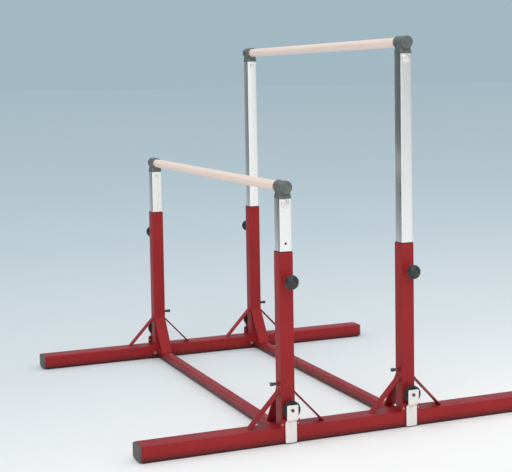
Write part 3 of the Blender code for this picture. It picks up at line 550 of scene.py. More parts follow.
def upright_mesh():
    """Outer tube with its clamp screw hole and the welded housing of the index plunger."""
    tube = square_tube(TUBE, TUBE, TUBE_CORNER, TUBE_WALL, SOCKET_TOP + FIT, TUBE_TOP, 0.0004)
    tube = cut(tube, bar(PIN_HOLE, (0, -0.05, PLUNGER_HEIGHT), (0, 0, PLUNGER_HEIGHT)))
    tube = cut(tube, bar(BOLT_HOLE, (-0.05, 0, CLAMP_HEIGHT), (0, 0, CLAMP_HEIGHT)))
    face, sunk = TUBE / 2, -0.0008
    profile = [(PIN_HOLE, HOUSING_LENGTH), (HOUSING_RADIUS, HOUSING_LENGTH)]
    profile += [(HOUSING_RADIUS, HOUSING_COLLAR_LENGTH), (HOUSING_COLLAR, HOUSING_COLLAR_LENGTH)]
    profile += [(HOUSING_COLLAR, sunk), (PIN_HOLE, sunk)]
    housing = lathe(soft(profile, 0.0006, 4, closed=True), 48, ring=True)
    housing = moved(housing, FACE_OUT, y=-face, z=PLUNGER_HEIGHT)
    seam = circle(HOUSING_COLLAR + 0.0002, steps=40)
    seam = [(x, -face, z + PLUNGER_HEIGHT) for x, z in seam]
    return joined([tube, housing, bead(seam, 0.0013, (0, 1, 0), pitch=0.004)])


def sleeve_mesh():
    """Moulded sleeve in the mouth of the upright, with a lip on its end."""
    bore = INNER + 2 * FIT
    shank = TUBE - 2 * TUBE_WALL - 2 * FIT
    liner = square_tube(
        shank, shank, 0.0025, (shank - bore) / 2, TUBE_TOP - SLEEVE_LENGTH, TUBE_TOP + 0.001, 0.0002
    )
    rim = TUBE - 0.002
    base, top = TUBE_TOP + FIT, TUBE_TOP + FIT + SLEEVE_LIP
    outside = [(rim - 0.0008, base), (rim, base + 0.0004), (rim, top - 0.0016)]
    outside += [(rim - 0.0010, top - 0.0006), (rim - 0.0030, top)]
    inside = [(bore + 0.0008, top), (bore, top - 0.0005), (bore, base)]
    loops = [level(outline(size, size, TUBE_CORNER), z) for size, z in outside]
    loops += [level(outline(size, size, INNER_CORNER), z) for size, z in inside]
    return joined([liner, loft(loops, ring=True)])


def clamp_mesh():
    """Clamp screw in the side: thread, hexagon head and a welded boss, which is material 1."""
    core, crest, half_tooth, pitch, end = 0.0060, 0.0065, 0.0006, 0.0015, 0.0262
    threads = [(0.0, -0.002), (core, -0.002)]
    z = 0.0
    while z < end:
        threads += [(core, z), (crest, z + half_tooth), (core, z + 2 * half_tooth)]
        z += pitch
    threads.append((0.0, z))
    radius, length = 0.0088, 0.008
    boss = numbered(domed(radius, radius, length, length, 0.0012), 1)
    head = shifted(bolt_head(0.0085, 0.010), z=0.026)
    shank = bar(THIN_SHANK, (0, 0, -0.0025), (0, 0, 0.002))
    screw = joined([lathe(threads, 40), boss, head, shank])
    return moved(screw, FACE_LEFT, x=-TUBE / 2 - FIT, z=CLAMP_HEIGHT)


def inner_mesh(label):
    """Inner tube from its head's base down, with index holes and two grooves in its outer face."""
    half, bore = INNER / 2, INNER - 2 * INNER_WALL
    groove, slope, depth = 0.0011, 0.0003, 0.0006
    outer, inner = outline(INNER, INNER, INNER_CORNER), outline(bore, bore, 0.001)
    for x in (-0.016, 0.016):
        outer += [(x - groove, -half), (x - groove + slope, -half + depth)]
        outer += [(x + groove - slope, -half + depth), (x + groove, -half)]
    gaps = len(outer) - len(inner) - 1
    inner += [(-0.02 + 0.04 * k / gaps, -bore / 2) for k in range(gaps + 1)]
    length = HEAD_BASE[label] - FIT - INNER_BOTTOM
    loops = [level(outer, -length), level(outer, 0.0), level(inner, 0.0), level(inner, -length)]
    tube = shifted(loft(loops, ring=True), z=-FIT)
    tools = [bar(BOLT_HOLE, (0, -0.05, -HEAD_BOLT_DROP), (0, 0.05, -HEAD_BOLT_DROP), 24)]
    for k in range(-HOLES_DOWN, HOLES_UP[label] + 1):
        z = PLUNGER_HEIGHT + HOLE_PITCH * k - HEAD_BASE[label]
        tools.append(bar(INDEX_HOLE, (0, -0.05, z), (0, 0, z), 28))
    return cut(tube, joined(tools))


def rail_mesh():
    end, edge, quarter = HALF_SPAN + HEAD_LENGTH / 2 - HEAD_CLOSED - FIT, 0.002, 0.45
    loops = []
    for y in (-end, -end + edge, -quarter, 0.0, quarter, end - edge, end):
        radius = RAIL_RADIUS - (edge if abs(y) == end else 0.0)
        loops.append([(a, y, b) for a, b in circle(radius, steps=72)])
    return loft(loops)


def head_mesh():
    """Cast rail head: barrel with a ring at each end and a dished cap, neck and square collar."""
    half = HEAD_LENGTH / 2
    ring, waist = HEAD_RING, HEAD_WAIST
    ring_edge, slope, dish, deep = half - 0.021, 0.0030, ring - 0.0085, 0.0025
    profile = [(0.0, half - deep), (dish - deep, half - deep), (dish, half), (ring, half)]
    profile += [(ring, ring_edge), (waist, ring_edge - slope), (waist, slope - ring_edge)]
    profile += [(ring, -ring_edge), (ring, -half), (0.0, -half)]
    barrel = lathe(soft(profile, 0.0028), 72)
    barrel = moved(barrel, FACE_OUT, z=AXIS_RISE)
    base = COLLAR - 0.002
    neck = loft([level(outline(size, size, radius), z) for size, radius, z in (
        (COLLAR - 0.0010, 0.0055, 0.0), (COLLAR, 0.006, 0.0008), (COLLAR, 0.006, 0.0128),
        (base + 0.0004, 0.006, 0.0142), (base, 0.006, 0.015), (base - 0.0030, 0.008, 0.030),
        (base - 0.0036, 0.009, AXIS_RISE - 0.008),
    )])
    seam = plate([circle(ring + 0.0004, steps=64)], 0.0016, 0.0004)
    parts = [barrel, neck, moved(seam, FACE_OUT, y=-half + 0.0105, z=AXIS_RISE)]
    body = applied(joined(parts), "REMESH", mode="VOXEL", voxel_size=CAST_VOXEL)
    body = applied(body, "SMOOTH", factor=0.5, iterations=5)
    bore = bar(RAIL_RADIUS + FIT, (0, -half + HEAD_CLOSED, AXIS_RISE), (0, 0.1, AXIS_RISE), 72)
    body = cut(body, bore)
    size = INNER - 2 * INNER_WALL - 2 * FIT
    plug = square_tube(size, size, 0.001, 0.004, -PLUG_LENGTH, 0.002)
    bolt = bar(BOLT_HOLE, (0, -0.05, -HEAD_BOLT_DROP), (0, 0.05, -HEAD_BOLT_DROP), 24)
    return joined([body, cut(plug, bolt)])


def rail_screw_mesh():
    """Screw in the side of a rail head's inner ring, with a cross slot."""
    head = domed(0.0046, 0.0042, 0.0020, 0.0030, 0.0007, 32)
    for angle in (20, 110):
        slot = plate([outline(0.0046, 0.0009, 0.0002, 2)], 0.003, 0.0001, 1)
        head = cut(head, moved(slot, about_z(angle), z=0.0032))
    stem = bar(0.002, (0, 0, -0.003), (0, 0, 0.001), 16)
    x, y = -HEAD_RING + 0.0004, HEAD_LENGTH / 2 - 0.011
    return moved(joined([head, stem]), FACE_LEFT, x=x, y=y, z=AXIS_RISE)


def head_bolt_mesh():
    """Domed washer and button head in front, shank through the tube, washer and nut behind."""
    face, height = INNER / 2 + FIT, -HEAD_BOLT_DROP
    low, high, steps = 12, 78, 8
    reach = 0.0178 / math.cos(math.radians(low))
    dome = [(0.0, 0.0), (0.0185, 0.0), (0.0185, 0.0014)]
    for k in range(steps + 1):
        a = math.radians(low + (high - low) * k / steps)
        dome.append((reach * math.cos(a), 0.0018 + 0.0047 * math.sin(a)))
    dome.append((0.0, 0.0065))
    washer = lathe(dome, 64)
    head = [(0.0, 0.0055), (0.0082, 0.0055), (0.0080, 0.0072), (0.0062, 0.0094), (0.0042, 0.0099)]
    head += [(0.0034, 0.0099), (0.0034, 0.0074), (0.0, 0.0074)]
    button = lathe(soft(head, 0.0006, 3))
    front = moved(joined([washer, button]), FACE_OUT, y=-face, z=height)
    nut = moved(bolt_head(0.0092, 0.0068, 0.0092), FACE_IN, y=face, z=height)
    shank = bar(THIN_SHANK, (0, -face - 0.004, height), (0, face + 0.0085, height))
    return joined([front, nut, shank])


def knob_mesh():
    """Mushroom knob of the index plunger, with a cap disc (material 2) and its pin (material 1)."""
    face = TUBE / 2 + HOUSING_LENGTH + 0.0015 + PLUNGER_TRAVEL
    rise = KNOB_RADIUS * 0.72
    middle = KNOB_LENGTH - rise
    profile = [(0.0, KNOB_LENGTH - 0.0015), (0.0096, KNOB_LENGTH - 0.0015)]
    profile.append((0.0104, KNOB_LENGTH - 0.0006))
    crown, brim, steps = math.acos(0.0112 / KNOB_RADIUS), math.radians(-46), 12
    for k in range(steps + 1):
        a = crown + (brim - crown) * k / steps
        profile.append((KNOB_RADIUS * math.cos(a), middle + rise * math.sin(a)))
    profile += [(0.0165, 0.0028), (0.0138, 0.0008), (0.0128, 0.0), (0.0, 0.0)]
    knob = lathe(profile, 64)
    disc = numbered(domed(0.0092, 0.0092, 0.0006, 0.0009, 0.0003, 48, 3), 2)
    disc = shifted(disc, z=KNOB_LENGTH - 0.0017)
    tip = INNER / 2 + 0.001 - face
    pin = [(0.0, 0.001), (0.0047, 0.001), (0.0047, tip + 0.0012), (0.0035, tip), (0.0, tip)]
    pin = numbered(lathe(soft(pin, 0.0004, 3), 32), 1)
    return moved(joined([knob, disc, pin]), FACE_OUT, y=-face, z=PLUNGER_HEIGHT)


def pivot_mesh():
    """Pivot bolt of the lever: head in front, spacer behind the lever and nut behind the plate."""
    front = -(LEVER_TAIL + LEVER_THICKNESS + FIT)
    head = moved(bolt_head(0.0072, 0.0028, 0.0075, 0.0007), FACE_OUT, y=front)
    radius, length = 0.0075, 0.0028
    spacer = [(PIVOT_SHANK, 0.0), (radius, 0.0), (radius, length), (PIVOT_SHANK, length)]
    spacer = lathe(soft(spacer, 0.0003, 3, closed=True), 40, ring=True)
    spacer = moved(spacer, FACE_OUT, y=-PLATE_FACE - FIT)
    nut = moved(bolt_head(0.0075, 0.0060), FACE_IN, y=-PLATE_FACE + 0.0036)
    shank = bar(PIVOT_SHANK, (0, front - 0.001, 0), (0, -PLATE_FACE + 0.0045, 0))
    return shifted(joined([head, spacer, nut, shank]), z=PIVOT_HEIGHT)


def plate_screw_mesh():
    """The two screws of a pivot plate, with their nuts behind."""
    parts = []
    for x in (-PLATE_SCREW_OUT, PLATE_SCREW_OUT):
        head = domed(0.0047, 0.0040, 0.0017, 0.0021, 0.0006, 32)
        parts.append(moved(head, FACE_OUT, x, -PLATE_FACE, PIVOT_HEIGHT))
        nut = bolt_head(0.0050, 0.0024)
        parts.append(moved(nut, FACE_IN, x, -PLATE_FACE + PLATE_THICKNESS, PIVOT_HEIGHT))
    return joined(parts)


def lever_mesh():
    """Zinc plated flat lever, cut from strip and joggled in two soft bends to clear its wheel."""
    t, half = LEVER_THICKNESS, LEVER_HALF
    tail, head = -LEVER_TAIL - t / 2, -LEVER_HEAD - t / 2
    spine = [(tail, LEVER_BOTTOM), (tail, JOGGLE_START), (head, JOGGLE_END), (head, LEVER_TOP)]
    spine = [Vector(p) for p in soft(spine, 0.007, 10)]
    lengths = [0.0]
    for a, b in zip(spine, spine[1:]):
        lengths.append(lengths[-1] + (b - a).length)
    whole = lengths[-1]

    def along(s):
        k = max(0, min(len(spine) - 2, sum(1 for v in lengths if v <= s) - 1))
        share = (s - lengths[k]) / (lengths[k + 1] - lengths[k])
        return spine[k].lerp(spine[k + 1], share)

    corners = [(-half, 0.0), (half, 0.0), (half, whole), (-half, whole)]
    edge = soft(corners, 0.0065, 6, closed=True)
    pivot = circle(PIVOT_HOLE, (0.0, PIVOT_HEIGHT - LEVER_BOTTOM))
    axle = circle(BOLT_HOLE, (0.0, whole - (LEVER_TOP - AXLE_HEIGHT)))
    sheet = plate([edge, pivot, axle], t, 0.0009, 3)
    bm = bmesh.new()
    bm.from_mesh(sheet)
    for s in lengths[1:-1]:
        parts = bm.verts[:] + bm.edges[:] + bm.faces[:]
        bmesh.ops.bisect_plane(bm, geom=parts, dist=MERGE, plane_co=(0, s, 0), plane_no=(0, 1, 0))
    step = 0.0004
    for vertex in bm.verts:
        s, offset = vertex.co.y, vertex.co.z
        ahead = along(min(s + step, whole)) - along(max(s - step, 0.0))
        ahead.normalize()
        place = along(s)
        vertex.co.y = place.x - ahead.y * offset
        vertex.co.z = place.y + ahead.x * offset
    bmesh.ops.recalc_face_normals(bm, faces=bm.faces)
    bm.to_mesh(sheet)
    bm.free()
    return sheet


def tyre_mesh():
    """Solid tyre with round shoulders and a fine mould line."""
    half, rim = 0.008, WHEEL_RADIUS - 0.009
    profile = [(rim, -half), (WHEEL_RADIUS, -half), (WHEEL_RADIUS, half), (rim, half)]
    tyre = lathe(soft(profile, 0.0034, 6, closed=True), 72, ring=True)
    root, width = WHEEL_RADIUS - 0.0008, 0.0004
    line = [(root, -width), (WHEEL_RADIUS + 0.0001, 0.0), (root, width)]
    return moved(joined([tyre, lathe(line, 72, ring=True)]), FACE_OUT)


def hub_mesh():
    """Dished wheel hub with six ribs, and a recess behind for the axle nut."""
    half, rim, dish, recess = 0.0078, WHEEL_RADIUS - 0.0088, 0.0036, -0.0029
    profile = [(BOLT_HOLE, half), (0.0095, half), (0.0098, dish), (rim - 0.002, dish)]
    profile += [(rim - 0.001, half), (rim, half), (rim, -half), (0.0075, -half)]
    profile += [(0.0075, recess), (BOLT_HOLE, recess)]
    parts = [lathe(soft(profile, 0.0005, 3, closed=True), 64, ring=True)]
    for k in range(6):
        rib = plate([outline(0.0185, 0.0022, 0.0004, 2)], 0.0050, 0.0005)
        parts.append(moved(shifted(rib, x=0.0180, z=0.0046), about_z(60 * k)))
    return moved(joined(parts), FACE_OUT)


def axle_mesh():
    """Axle bolt: hexagon head and washer before the lever, thin nut in the wheel's recess."""
    front = LEVER_HEAD + LEVER_THICKNESS + FIT - WHEEL_MIDDLE
    head = shifted(bolt_head(0.0067, 0.0040, 0.0068, 0.0009), z=front)
    nut = shifted(bolt_head(0.0064, 0.0044), z=-0.0080)
    shank = bar(THIN_SHANK, (0, 0, -0.0075), (0, 0, front + 0.001))
    return moved(joined([head, nut, shank]), FACE_OUT)


def flange_bolt_mesh():
    """The two bolts of one flange and the low screw on top of the spreader, at its front end."""
    face = HALF_SPAN - FOOT_DEPTH / 2 - FIT - FLANGE_THICKNESS
    height = SPREADER_BOTTOM + (SPREADER + FLANGE_ABOVE - FLANGE_BELOW) / 2
    parts = []
    for x in (-FLANGE_BOLT_OUT, FLANGE_BOLT_OUT):
        parts.append(moved(bolt_head(0.0072, 0.0052, 0.0075), FACE_IN, x, -face, height))
    screw = domed(0.0062, 0.0054, 0.0026, 0.0035, 0.0008, 36)
    y, z = -HALF_SPAN + LOW_SCREW_INWARD, SPREADER_BOTTOM + SPREADER
    parts.append(shifted(screw, y=y, z=z))
    return joined(parts)


# Materials


class Nodes:
    """A node tree under construction."""

    def __init__(self, tree):
        self.tree = tree

    def node(self, kind, inputs, **settings):
        made = self.tree.nodes.new(kind)
        for key, value in settings.items():
            setattr(made, key, value)
        for key, value in inputs.items():
            if isinstance(value, bpy.types.NodeSocket):
                self.tree.links.new(value, made.inputs[key])
            else:
                made.inputs[key].default_value = value
        return made

    def maths(self, operation, *values):
        inputs = dict(enumerate(values))
        return self.node("ShaderNodeMath", inputs, operation=operation).outputs[0]

    def remap(self, value, low, high, at_low=0.0, at_high=1.0, **settings):
        """A number taken from one range to another, held at its ends."""
        inputs = {"Value": value, 1: low, 2: high, 3: at_low, 4: at_high}
        return self.node("ShaderNodeMapRange", inputs, **settings).outputs[0]

    def dot(self, a, b):
        inputs = {0: a, 1: b}
        return self.node("ShaderNodeVectorMath", inputs, operation="DOT_PRODUCT").outputs["Value"]

    def axis(self, vector, letter):
        return self.node("ShaderNodeSeparateXYZ", {0: vector}).outputs[letter]

    def mix(self, factor, a, b):
        """Colour a where the factor is 0, b where it is 1."""
        a, b = ((*c, 1.0) if isinstance(c, tuple) else c for c in (a, b))
        return self.node("ShaderNodeMix", {0: factor, 6: a, 7: b}, data_type="RGBA").outputs[2]


class Surface(Nodes):
    """A material under construction: a Principled shader and the nodes that feed it."""

    def __init__(self, name, roughness, metallic=0.0, **sockets):
        self.material = bpy.data.materials.new(name)
        self.material.use_nodes = True
        super().__init__(self.material.node_tree)
        self.shader = self.tree.nodes["Principled BSDF"]
        self.shader.inputs["Roughness"].default_value = roughness
        self.shader.inputs["Metallic"].default_value = metallic
        for key, value in sockets.items():
            self.shader.inputs[key.replace("_", " ")].default_value = value
        self.relief = {}

    def coordinates(self, scale=(1.0, 1.0, 1.0)):
        """Object coordinates in metres, stretched."""
        source = self.node("ShaderNodeTexCoord", {}).outputs["Object"]
        return self.node("ShaderNodeMapping", {0: source, "Scale": scale}).outputs[0]

    def noise(self, scale, detail=3.0, roughness=0.5, stretch=(1.0, 1.0, 1.0), distortion=0.0):
        """Cloudy noise with about so many features to the metre."""
        inputs = {"Vector": self.coordinates(stretch), "Scale": scale, "Detail": detail}
        inputs.update({"Roughness": roughness, "Distortion": distortion})
        return self.node("ShaderNodeTexNoise", inputs).outputs[0]

    def ramp(self, factor, stops):
        """A colour ramp; stops are (place, colour or number)."""
        made = self.node("ShaderNodeValToRGB", {0: factor})
        elements = made.color_ramp.elements
        while len(elements) < len(stops):
            elements.new(0.5)
        for element, (place, value) in zip(elements, stops):
            element.position = place
            colour = value if isinstance(value, tuple) else (value, value, value)
            element.color = (*colour, 1.0)
        return made.outputs[0]

    def tones(self, cloud, dark, light):
        """Two values, or colours, over the middle of a noise."""
        return self.ramp(cloud, [(0.3, dark), (0.7, light)])

    def edges(self, radius, low, high=0.995):
        """Where the surface turns sharply, from 0 to 1."""
        soft_normal = self.node("ShaderNodeBevel", {"Radius": radius}, samples=4).outputs[0]
        normal = self.node("ShaderNodeNewGeometry", {}).outputs["Normal"]
        return self.remap(self.dot(soft_normal, normal), high, low)

    def colour(self, socket):
        self.tree.links.new(socket, self.shader.inputs["Base Color"])

    def roughness(self, cloud, low, high):
        self.tree.links.new(self.tones(cloud, low, high), self.shader.inputs["Roughness"])

    def raised(self, socket, height):
        """Adds a relief of that height in metres to those before it."""
        inputs = {"Height": socket, "Distance": height, "Strength": 1.0, **self.relief}
        self.relief = {"Normal": self.node("ShaderNodeBump", inputs).outputs[0]}
        self.tree.links.new(self.relief["Normal"], self.shader.inputs["Normal"])


def scaled(colour, factor):
    return tuple(c * factor for c in colour)


def red_paint(name, shade_depth, shade_top):
    """Powder coat with painted shade toward the floor: its dark share at the floor and the height
    where it ends.
    """
    base, bright = (0.305, 0.0165, 0.020), (0.42, 0.07, 0.07)
    # The second colour here is the near-black of the painted shade toward the floor.
    worn, floor_shade = (0.38, 0.06, 0.06), (0.02, 0.012, 0.012)
    s = Surface(name, 0.40, Specular_IOR_Level=0.20)
    tone = s.tones(s.noise(5.0), scaled(base, 0.92), scaled(base, 1.07))
    fleck = s.ramp(s.noise(900.0, 2.0), [(0.62, 0.0), (0.78, 1.0)])
    tone = s.mix(s.maths("MULTIPLY", fleck, 0.10), tone, bright)
    edge = s.maths("MULTIPLY", s.edges(0.0016, 0.80), s.noise(55.0, 4.0))
    tone = s.mix(edge, tone, worn)
    # Painted shade: darker toward the floor up to the given height, its edge made ragged by noise.
    height = s.axis(s.coordinates(), "Z")
    shade_height = s.maths("MULTIPLY_ADD", s.noise(60.0, 4.0), 0.008, height)
    s.colour(s.mix(s.remap(shade_height, SPREADER_BOTTOM, shade_top, shade_depth, 0.0), tone, floor_shade))
    s.roughness(s.noise(16.0, 4.0), 0.36, 0.45)
    s.raised(s.noise(330.0, 2.0), 0.00010)
    s.raised(s.noise(12.0, 2.0), 0.0005)
    return s.material


def aluminium():
    s = Surface("anodised_aluminium", 0.27, 1.0)
    streak = s.noise(1.0, 3.0, 0.6, (900.0, 900.0, 2.0))
    s.colour(s.tones(streak, (0.92, 0.92, 0.905), (0.96, 0.96, 0.945)))
    s.roughness(s.noise(1.0, 3.0, 0.6, (500.0, 500.0, 3.0)), 0.25, 0.30)
    s.raised(streak, 0.000005)
    return s.material


def beech():
    s = Surface("varnished_beech", 0.42)
    fibre = s.noise(1.0, 4.0, 0.6, (260.0, 3.2, 260.0), 0.4)
    growth = s.node(
        "ShaderNodeTexWave",
        {"Vector": s.coordinates((1.0, 0.03, 1.0)), "Scale": 34.0, "Distortion": 5.0,
         "Detail": 2.0, "Detail Scale": 1.4},
        bands_direction="X",
    ).outputs[0]
    tone = s.ramp(growth, [(0.2, (0.94, 0.77, 0.67)), (0.8, (0.91, 0.73, 0.62))])
    fine = s.ramp(fibre, [(0.35, (0.87, 0.69, 0.57)), (0.6, (0.95, 0.80, 0.71))])
    tone = s.mix(0.35, tone, fine)
    ray = s.ramp(s.noise(1.0, 2.0, 0.5, (420.0, 60.0, 420.0)), [(0.64, 0.0), (0.72, 1.0)])
    s.colour(s.mix(s.maths("MULTIPLY", ray, 0.28), tone, (0.70, 0.53, 0.40)))
    s.roughness(fibre, 0.38, 0.50)
    s.raised(fibre, 0.00004)
    return s.material


def casting():
    base = (0.117, 0.136, 0.129)
    s = Surface("coated_casting", 0.46)
    tone = s.tones(s.noise(30.0, 4.0), scaled(base, 0.85), scaled(base, 1.18))
    s.colour(s.mix(s.edges(0.0012, 0.85), tone, (0.17, 0.19, 0.18)))
    s.roughness(s.noise(60.0), 0.40, 0.54)
    s.raised(s.noise(620.0), 0.00012)
    s.raised(s.noise(140.0, 2.0), 0.00018)
    return s.material


def moulded(name, base, roughness=0.42, grain=0.00004):
    s = Surface(name, roughness)
    s.colour(s.tones(s.noise(22.0), scaled(base, 0.85), scaled(base, 1.2)))
    s.roughness(s.noise(90.0), roughness - 0.05, roughness + 0.07)
    s.raised(s.noise(1100.0, 2.0), grain)
    return s.material


def rubber():
    s = Surface("rubber", 0.78)
    dust = [(0.35, (0.014, 0.014, 0.015)), (0.75, (0.032, 0.031, 0.030))]
    dust = s.ramp(s.noise(40.0, 5.0), dust)
    s.colour(s.mix(s.edges(0.0015, 0.80), dust, (0.05, 0.05, 0.05)))
    s.roughness(s.noise(120.0), 0.70, 0.88)
    s.raised(s.noise(800.0), 0.00008)
    return s.material


def zinc():
    s = Surface("zinc_plate", 0.45, 0.8)
    s.colour(s.tones(s.noise(70.0, 4.0, 0.6), (0.86, 0.83, 0.81), (0.91, 0.885, 0.865)))
    s.roughness(s.noise(160.0, 4.0), 0.40, 0.52)
    s.raised(s.noise(900.0, 2.0), 0.00001)
    return s.material


def dull_zinc():
    s = Surface("dull_zinc", 0.5, 0.6)
    s.colour(s.tones(s.noise(120.0, 4.0), (0.34, 0.28, 0.27), (0.46, 0.39, 0.38)))
    s.roughness(s.noise(200.0), 0.44, 0.58)
    s.raised(s.noise(900.0, 2.0), 0.00002)
    return s.material


def dark_steel():
    s = Surface("blackened_steel", 0.40, 1.0)
    tone = s.tones(s.noise(90.0, 4.0), (0.075, 0.075, 0.08), (0.13, 0.13, 0.135))
    s.colour(s.mix(s.edges(0.0008, 0.80, 0.99), tone, (0.34, 0.34, 0.34)))
    s.roughness(s.noise(200.0), 0.32, 0.50)
    s.raised(s.noise(900.0, 2.0), 0.00003)
    return s.material


# Stage and light


def floor_stage():
    """Pale floor that fades to blue-grey far away."""
    s = Surface("floor", 0.9, Specular_IOR_Level=0.0)
    place = s.node("ShaderNodeNewGeometry", {}).outputs["Position"]
    offset = s.node("ShaderNodeVectorMath", {0: place, 1: FLOOR_MIDDLE}, operation="SUBTRACT")
    distance = s.node("ShaderNodeVectorMath", {0: offset.outputs[0]}, operation="LENGTH")
    nearness = s.maths("DIVIDE", FLOOR_PALE_WITHIN, distance.outputs["Value"])
    s.colour(s.ramp(nearness, FLOOR_TONES))
    corners = [(-1, -1), (1, -1), (1, 1), (-1, 1)]
    mesh = mesh_of([(x * FLOOR_HALF, y * FLOOR_HALF, 0) for x, y in corners], [(0, 1, 2, 3)])
    mesh.materials.append(s.material)
    floor = linked("floor", mesh)


def flag_stage():
    """Dark panel to the left, seen only in reflections, that gives bare metal its dark side."""
    s = Surface("flag", 1.0, Base_Color=(0.0, 0.0, 0.0, 1.0), Specular_IOR_Level=0.0)
    along = s.axis(s.node("ShaderNodeNewGeometry", {}).outputs["Position"], "Y")
    along = s.remap(along, FLAG_NEAR[0], FLAG_FAR[0])
    s.tree.links.new(s.mix(along, FLAG_NEAR[1], FLAG_FAR[1]), s.shader.inputs["Emission Color"])
    s.shader.inputs["Emission Strength"].default_value = 1.0
    (near, far), (low, high) = FLAG_Y, FLAG_Z
    corners = [(FLAG_X, y, z) for y, z in ((near, low), (far, low), (far, high), (near, high))]
    mesh = mesh_of(corners, [(0, 1, 2, 3)])
    mesh.materials.append(s.material)
    flag = linked("flag", mesh)
    flag.visible_camera = False
    flag.visible_diffuse = False
    flag.visible_shadow = False
    flag.visible_transmission = False


def surround():
    """World: even light, a backdrop, and a bright and a grey field that only reflections show."""
    world = bpy.data.worlds.new("studio")
    bpy.context.scene.world = world
    world.use_nodes = True
    world.node_tree.nodes.clear()
    w = Nodes(world.node_tree)
    smooth = {"interpolation_type": "SMOOTHSTEP"}
    direction = w.node("ShaderNodeTexCoord", {}).outputs["Generated"]
    behind = w.remap(w.dot(direction, BEHIND_CAMERA), *BEHIND_COSINES, **smooth)
    bright = w.remap(w.dot(direction, BRIGHT_FIELD), *BRIGHT_COSINES, **smooth)
    above = w.remap(w.axis(direction, "Z"), *OVERHEAD_COSINES, **smooth)
    path = w.node("ShaderNodeLightPath", {}).outputs
    seen = w.mix(behind, FAR, w.mix(bright, GREY, BRIGHT))
    seen = w.mix(path["Is Camera Ray"], seen, FAR)
    seen = w.mix(above, seen, OVERHEAD)
    shown = w.maths("MAXIMUM", path["Is Camera Ray"], path["Is Glossy Ray"])
    shown = w.maths("MAXIMUM", shown, path["Is Transmission Ray"])
    backdrop = w.node("ShaderNodeBackground", {0: seen, 1: 1.0}).outputs[0]
    ambient = w.node("ShaderNodeBackground", {0: (*AMBIENT, 1.0), 1: 1.0}).outputs[0]
    mixed = w.node("ShaderNodeMixShader", {0: shown, 1: ambient, 2: backdrop}).outputs[0]
    w.node("ShaderNodeOutputWorld", {0: mixed})


def lamps():
    for name, energy, angle, toward in LAMPS:
        lamp = bpy.data.lights.new(name, "SUN")
        lamp.energy = energy
        lamp.angle = math.radians(angle)
        linked(name, lamp).rotation_euler = Vector(toward).to_track_quat("Z", "Y").to_euler()


# Pieces


def piece(name, mesh, looks, body, place, nodes=()):
    """A finished piece on its body, in place of the named solids."""
    if not mesh.materials:
        for look in looks:
            mesh.materials.append(look)
        mesh.name = name
        mesh.shade_smooth()
        mesh.set_sharp_from_angle(angle=SHARP_ANGLE)
    obj = linked(name, mesh)
    obj.matrix_world = place
    if nodes:
        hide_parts(*nodes)
    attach(obj, body)


def at(x, side, z=0.0):
    """The frame of one upright: back ones are turned round."""
    return Matrix.Translation((x, side * HALF_SPAN, z)) @ about_z(180 if side > 0 else 0)


def finishes():
    return {
        "red": red_paint("red_powder_coat", 0.80, 0.038),
        # The spreaders' red has deeper painted shade, reaching higher above the floor.
        "low_red": red_paint("red_powder_coat_low", 0.98, 0.046),
        "metal": aluminium(),
        "wood": beech(),
        "cast": casting(),
        "black": moulded("black_plastic", (0.022, 0.027, 0.026)),
        "grey": moulded("cap_plastic", (0.092, 0.080, 0.079), 0.55, 0.00006),
        "liner": moulded("sleeve_plastic", (0.095, 0.022, 0.024)),
        "disc": moulded("knob_disc", (0.035, 0.040, 0.039), 0.35, 0.00002),
        "tread": rubber(),
        "plated": zinc(),
        "dull": dull_zinc(),
        "dark": dark_steel(),
    }


def dress_base(look):
    """Feet with their caps and strips, spreaders and their bolts."""
    foot, cap, spreader, bolts = foot_mesh(), cap_mesh(), spreader_mesh(), flange_bolt_mesh()
    for label, side in ENDS.items():
        place = at(0.0, side)
        nodes = ["foot_" + label]
        piece("foot_tube_" + label, foot, [look["red"]], "frame", place, nodes)
        for end, turn in (("right", 180 if side > 0 else 0), ("left", 180 if side < 0 else 0)):
            name = "cap_%s_%s" % (label, end)
            spot = place @ about_z(turn)
            piece(name, cap, [look["grey"]], "frame", spot, ["end_" + name])
        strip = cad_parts["grip_strip_" + label].material_slots[0]
        strip.link = "OBJECT"
        strip.material = look["tread"]
    for label, x in RAILS.items():
        place = Matrix.Translation((x, 0.0, 0.0))
        name, nodes = "spreader_tube_" + label, ["spreader_" + label]
        piece(name, spreader, [look["low_red"]], "frame", place, nodes)
        for end, turn in (("front", 0), ("back", 180)):
            name = "flange_bolts_%s_%s" % (label, end)
            piece(name, bolts, [look["dull"]], "frame", place @ about_z(turn))


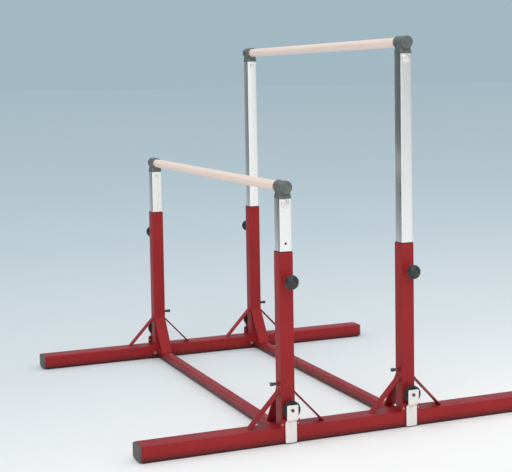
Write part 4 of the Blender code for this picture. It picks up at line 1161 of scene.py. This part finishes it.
def dress_uprights(look):
    """Sockets, uprights and everything on them, plungers, levers and wheels."""
    red, plated, dark = look["red"], look["plated"], look["dark"]
    fine = (
        ("socket", socket_mesh(), red, "red_paint"),
        ("upright", upright_mesh(), red, "red_paint"),
        ("guide_sleeve", sleeve_mesh(), look["liner"], "black_plastic"),
        ("clamp_screw", clamp_mesh(), dark, "dark_steel"),
        ("pivot_bolt", pivot_mesh(), plated, "zinc_plate"),
    )
    hub_place = Matrix.Translation((0.0, -WHEEL_MIDDLE, AXLE_HEIGHT))
    others = (
        ("plate_screws", plate_screw_mesh(), [look["dull"]], "", "zinc_plate", Matrix(), ""),
        ("knob", knob_mesh(), [look["black"], plated, look["disc"]], "plunger_set_",
         "black_plastic", Matrix(), "plunger_"),
        ("lever_plate", lever_mesh(), [plated], "lever_set_", "zinc_plate", Matrix(),
         "wheel_lever_"),
        ("axle_bolt", axle_mesh(), [dark], "lever_set_", "dark_steel", hub_place, "wheel_axle_"),
        ("tyre", tyre_mesh(), [look["tread"]], "wheel_set_", "wheel_rubber", hub_place, "wheel_"),
        ("hub", hub_mesh(), [look["black"]], "wheel_set_", "wheel_rubber", hub_place, ""),
    )
    for corner, (x, side) in CORNERS.items():
        place = at(x, side)
        for kind, mesh, finish, slot in fine:
            name = "%s_fine_%s" % (kind, corner)
            piece(name, mesh, [finish, red], "frame", place, [kind + "_" + corner])
        for kind, mesh, looks, body, slot, spot, node in others:
            nodes = [node + corner] if node else ()
            body = body + corner if body else "frame"
            piece(kind + "_" + corner, mesh, looks, body, place @ spot, nodes)


def dress_rails(look):
    """Rails with their inner tubes, heads, bolts and screws."""
    head, screw, bolt, rail = head_mesh(), rail_screw_mesh(), head_bolt_mesh(), rail_mesh()
    for label, x in RAILS.items():
        body = label + "_rail_set"
        tube = inner_mesh(label)
        place = Matrix.Translation((x, 0.0, HEAD_BASE[label] + AXIS_RISE))
        piece("rail_bar_" + label, rail, [look["wood"]], body, place, [label + "_rail"])
        for end, side in ENDS.items():
            corner = "_%s_%s" % (label, end)
            place = at(x, side, HEAD_BASE[label])
            for kind, mesh, finish, slot, node in (
                ("tube", tube, "metal", "aluminium_tube", "inner_tube"),
                ("head", head, "cast", "head_casting", "rail_head"),
                ("bolt", bolt, "plated", "zinc_plate", "head_bolt"),
                ("rail_screw", screw, "dull", "zinc_plate", ""),
            ):
                nodes = [node + corner] if node else ()
                piece(kind + corner, mesh, [look[finish]], body, place, nodes)


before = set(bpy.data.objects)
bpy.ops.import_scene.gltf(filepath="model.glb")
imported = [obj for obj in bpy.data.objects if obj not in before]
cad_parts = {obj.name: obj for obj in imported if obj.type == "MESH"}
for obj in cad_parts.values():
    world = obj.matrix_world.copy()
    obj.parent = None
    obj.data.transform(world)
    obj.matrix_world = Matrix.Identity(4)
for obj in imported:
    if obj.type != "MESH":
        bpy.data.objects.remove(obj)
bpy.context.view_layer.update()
camera()
looks = finishes()
dress_base(looks)
dress_uprights(looks)
dress_rails(looks)
floor_stage()
flag_stage()
surround()
lamps()
bpy.context.scene.view_settings.view_transform = "Standard"
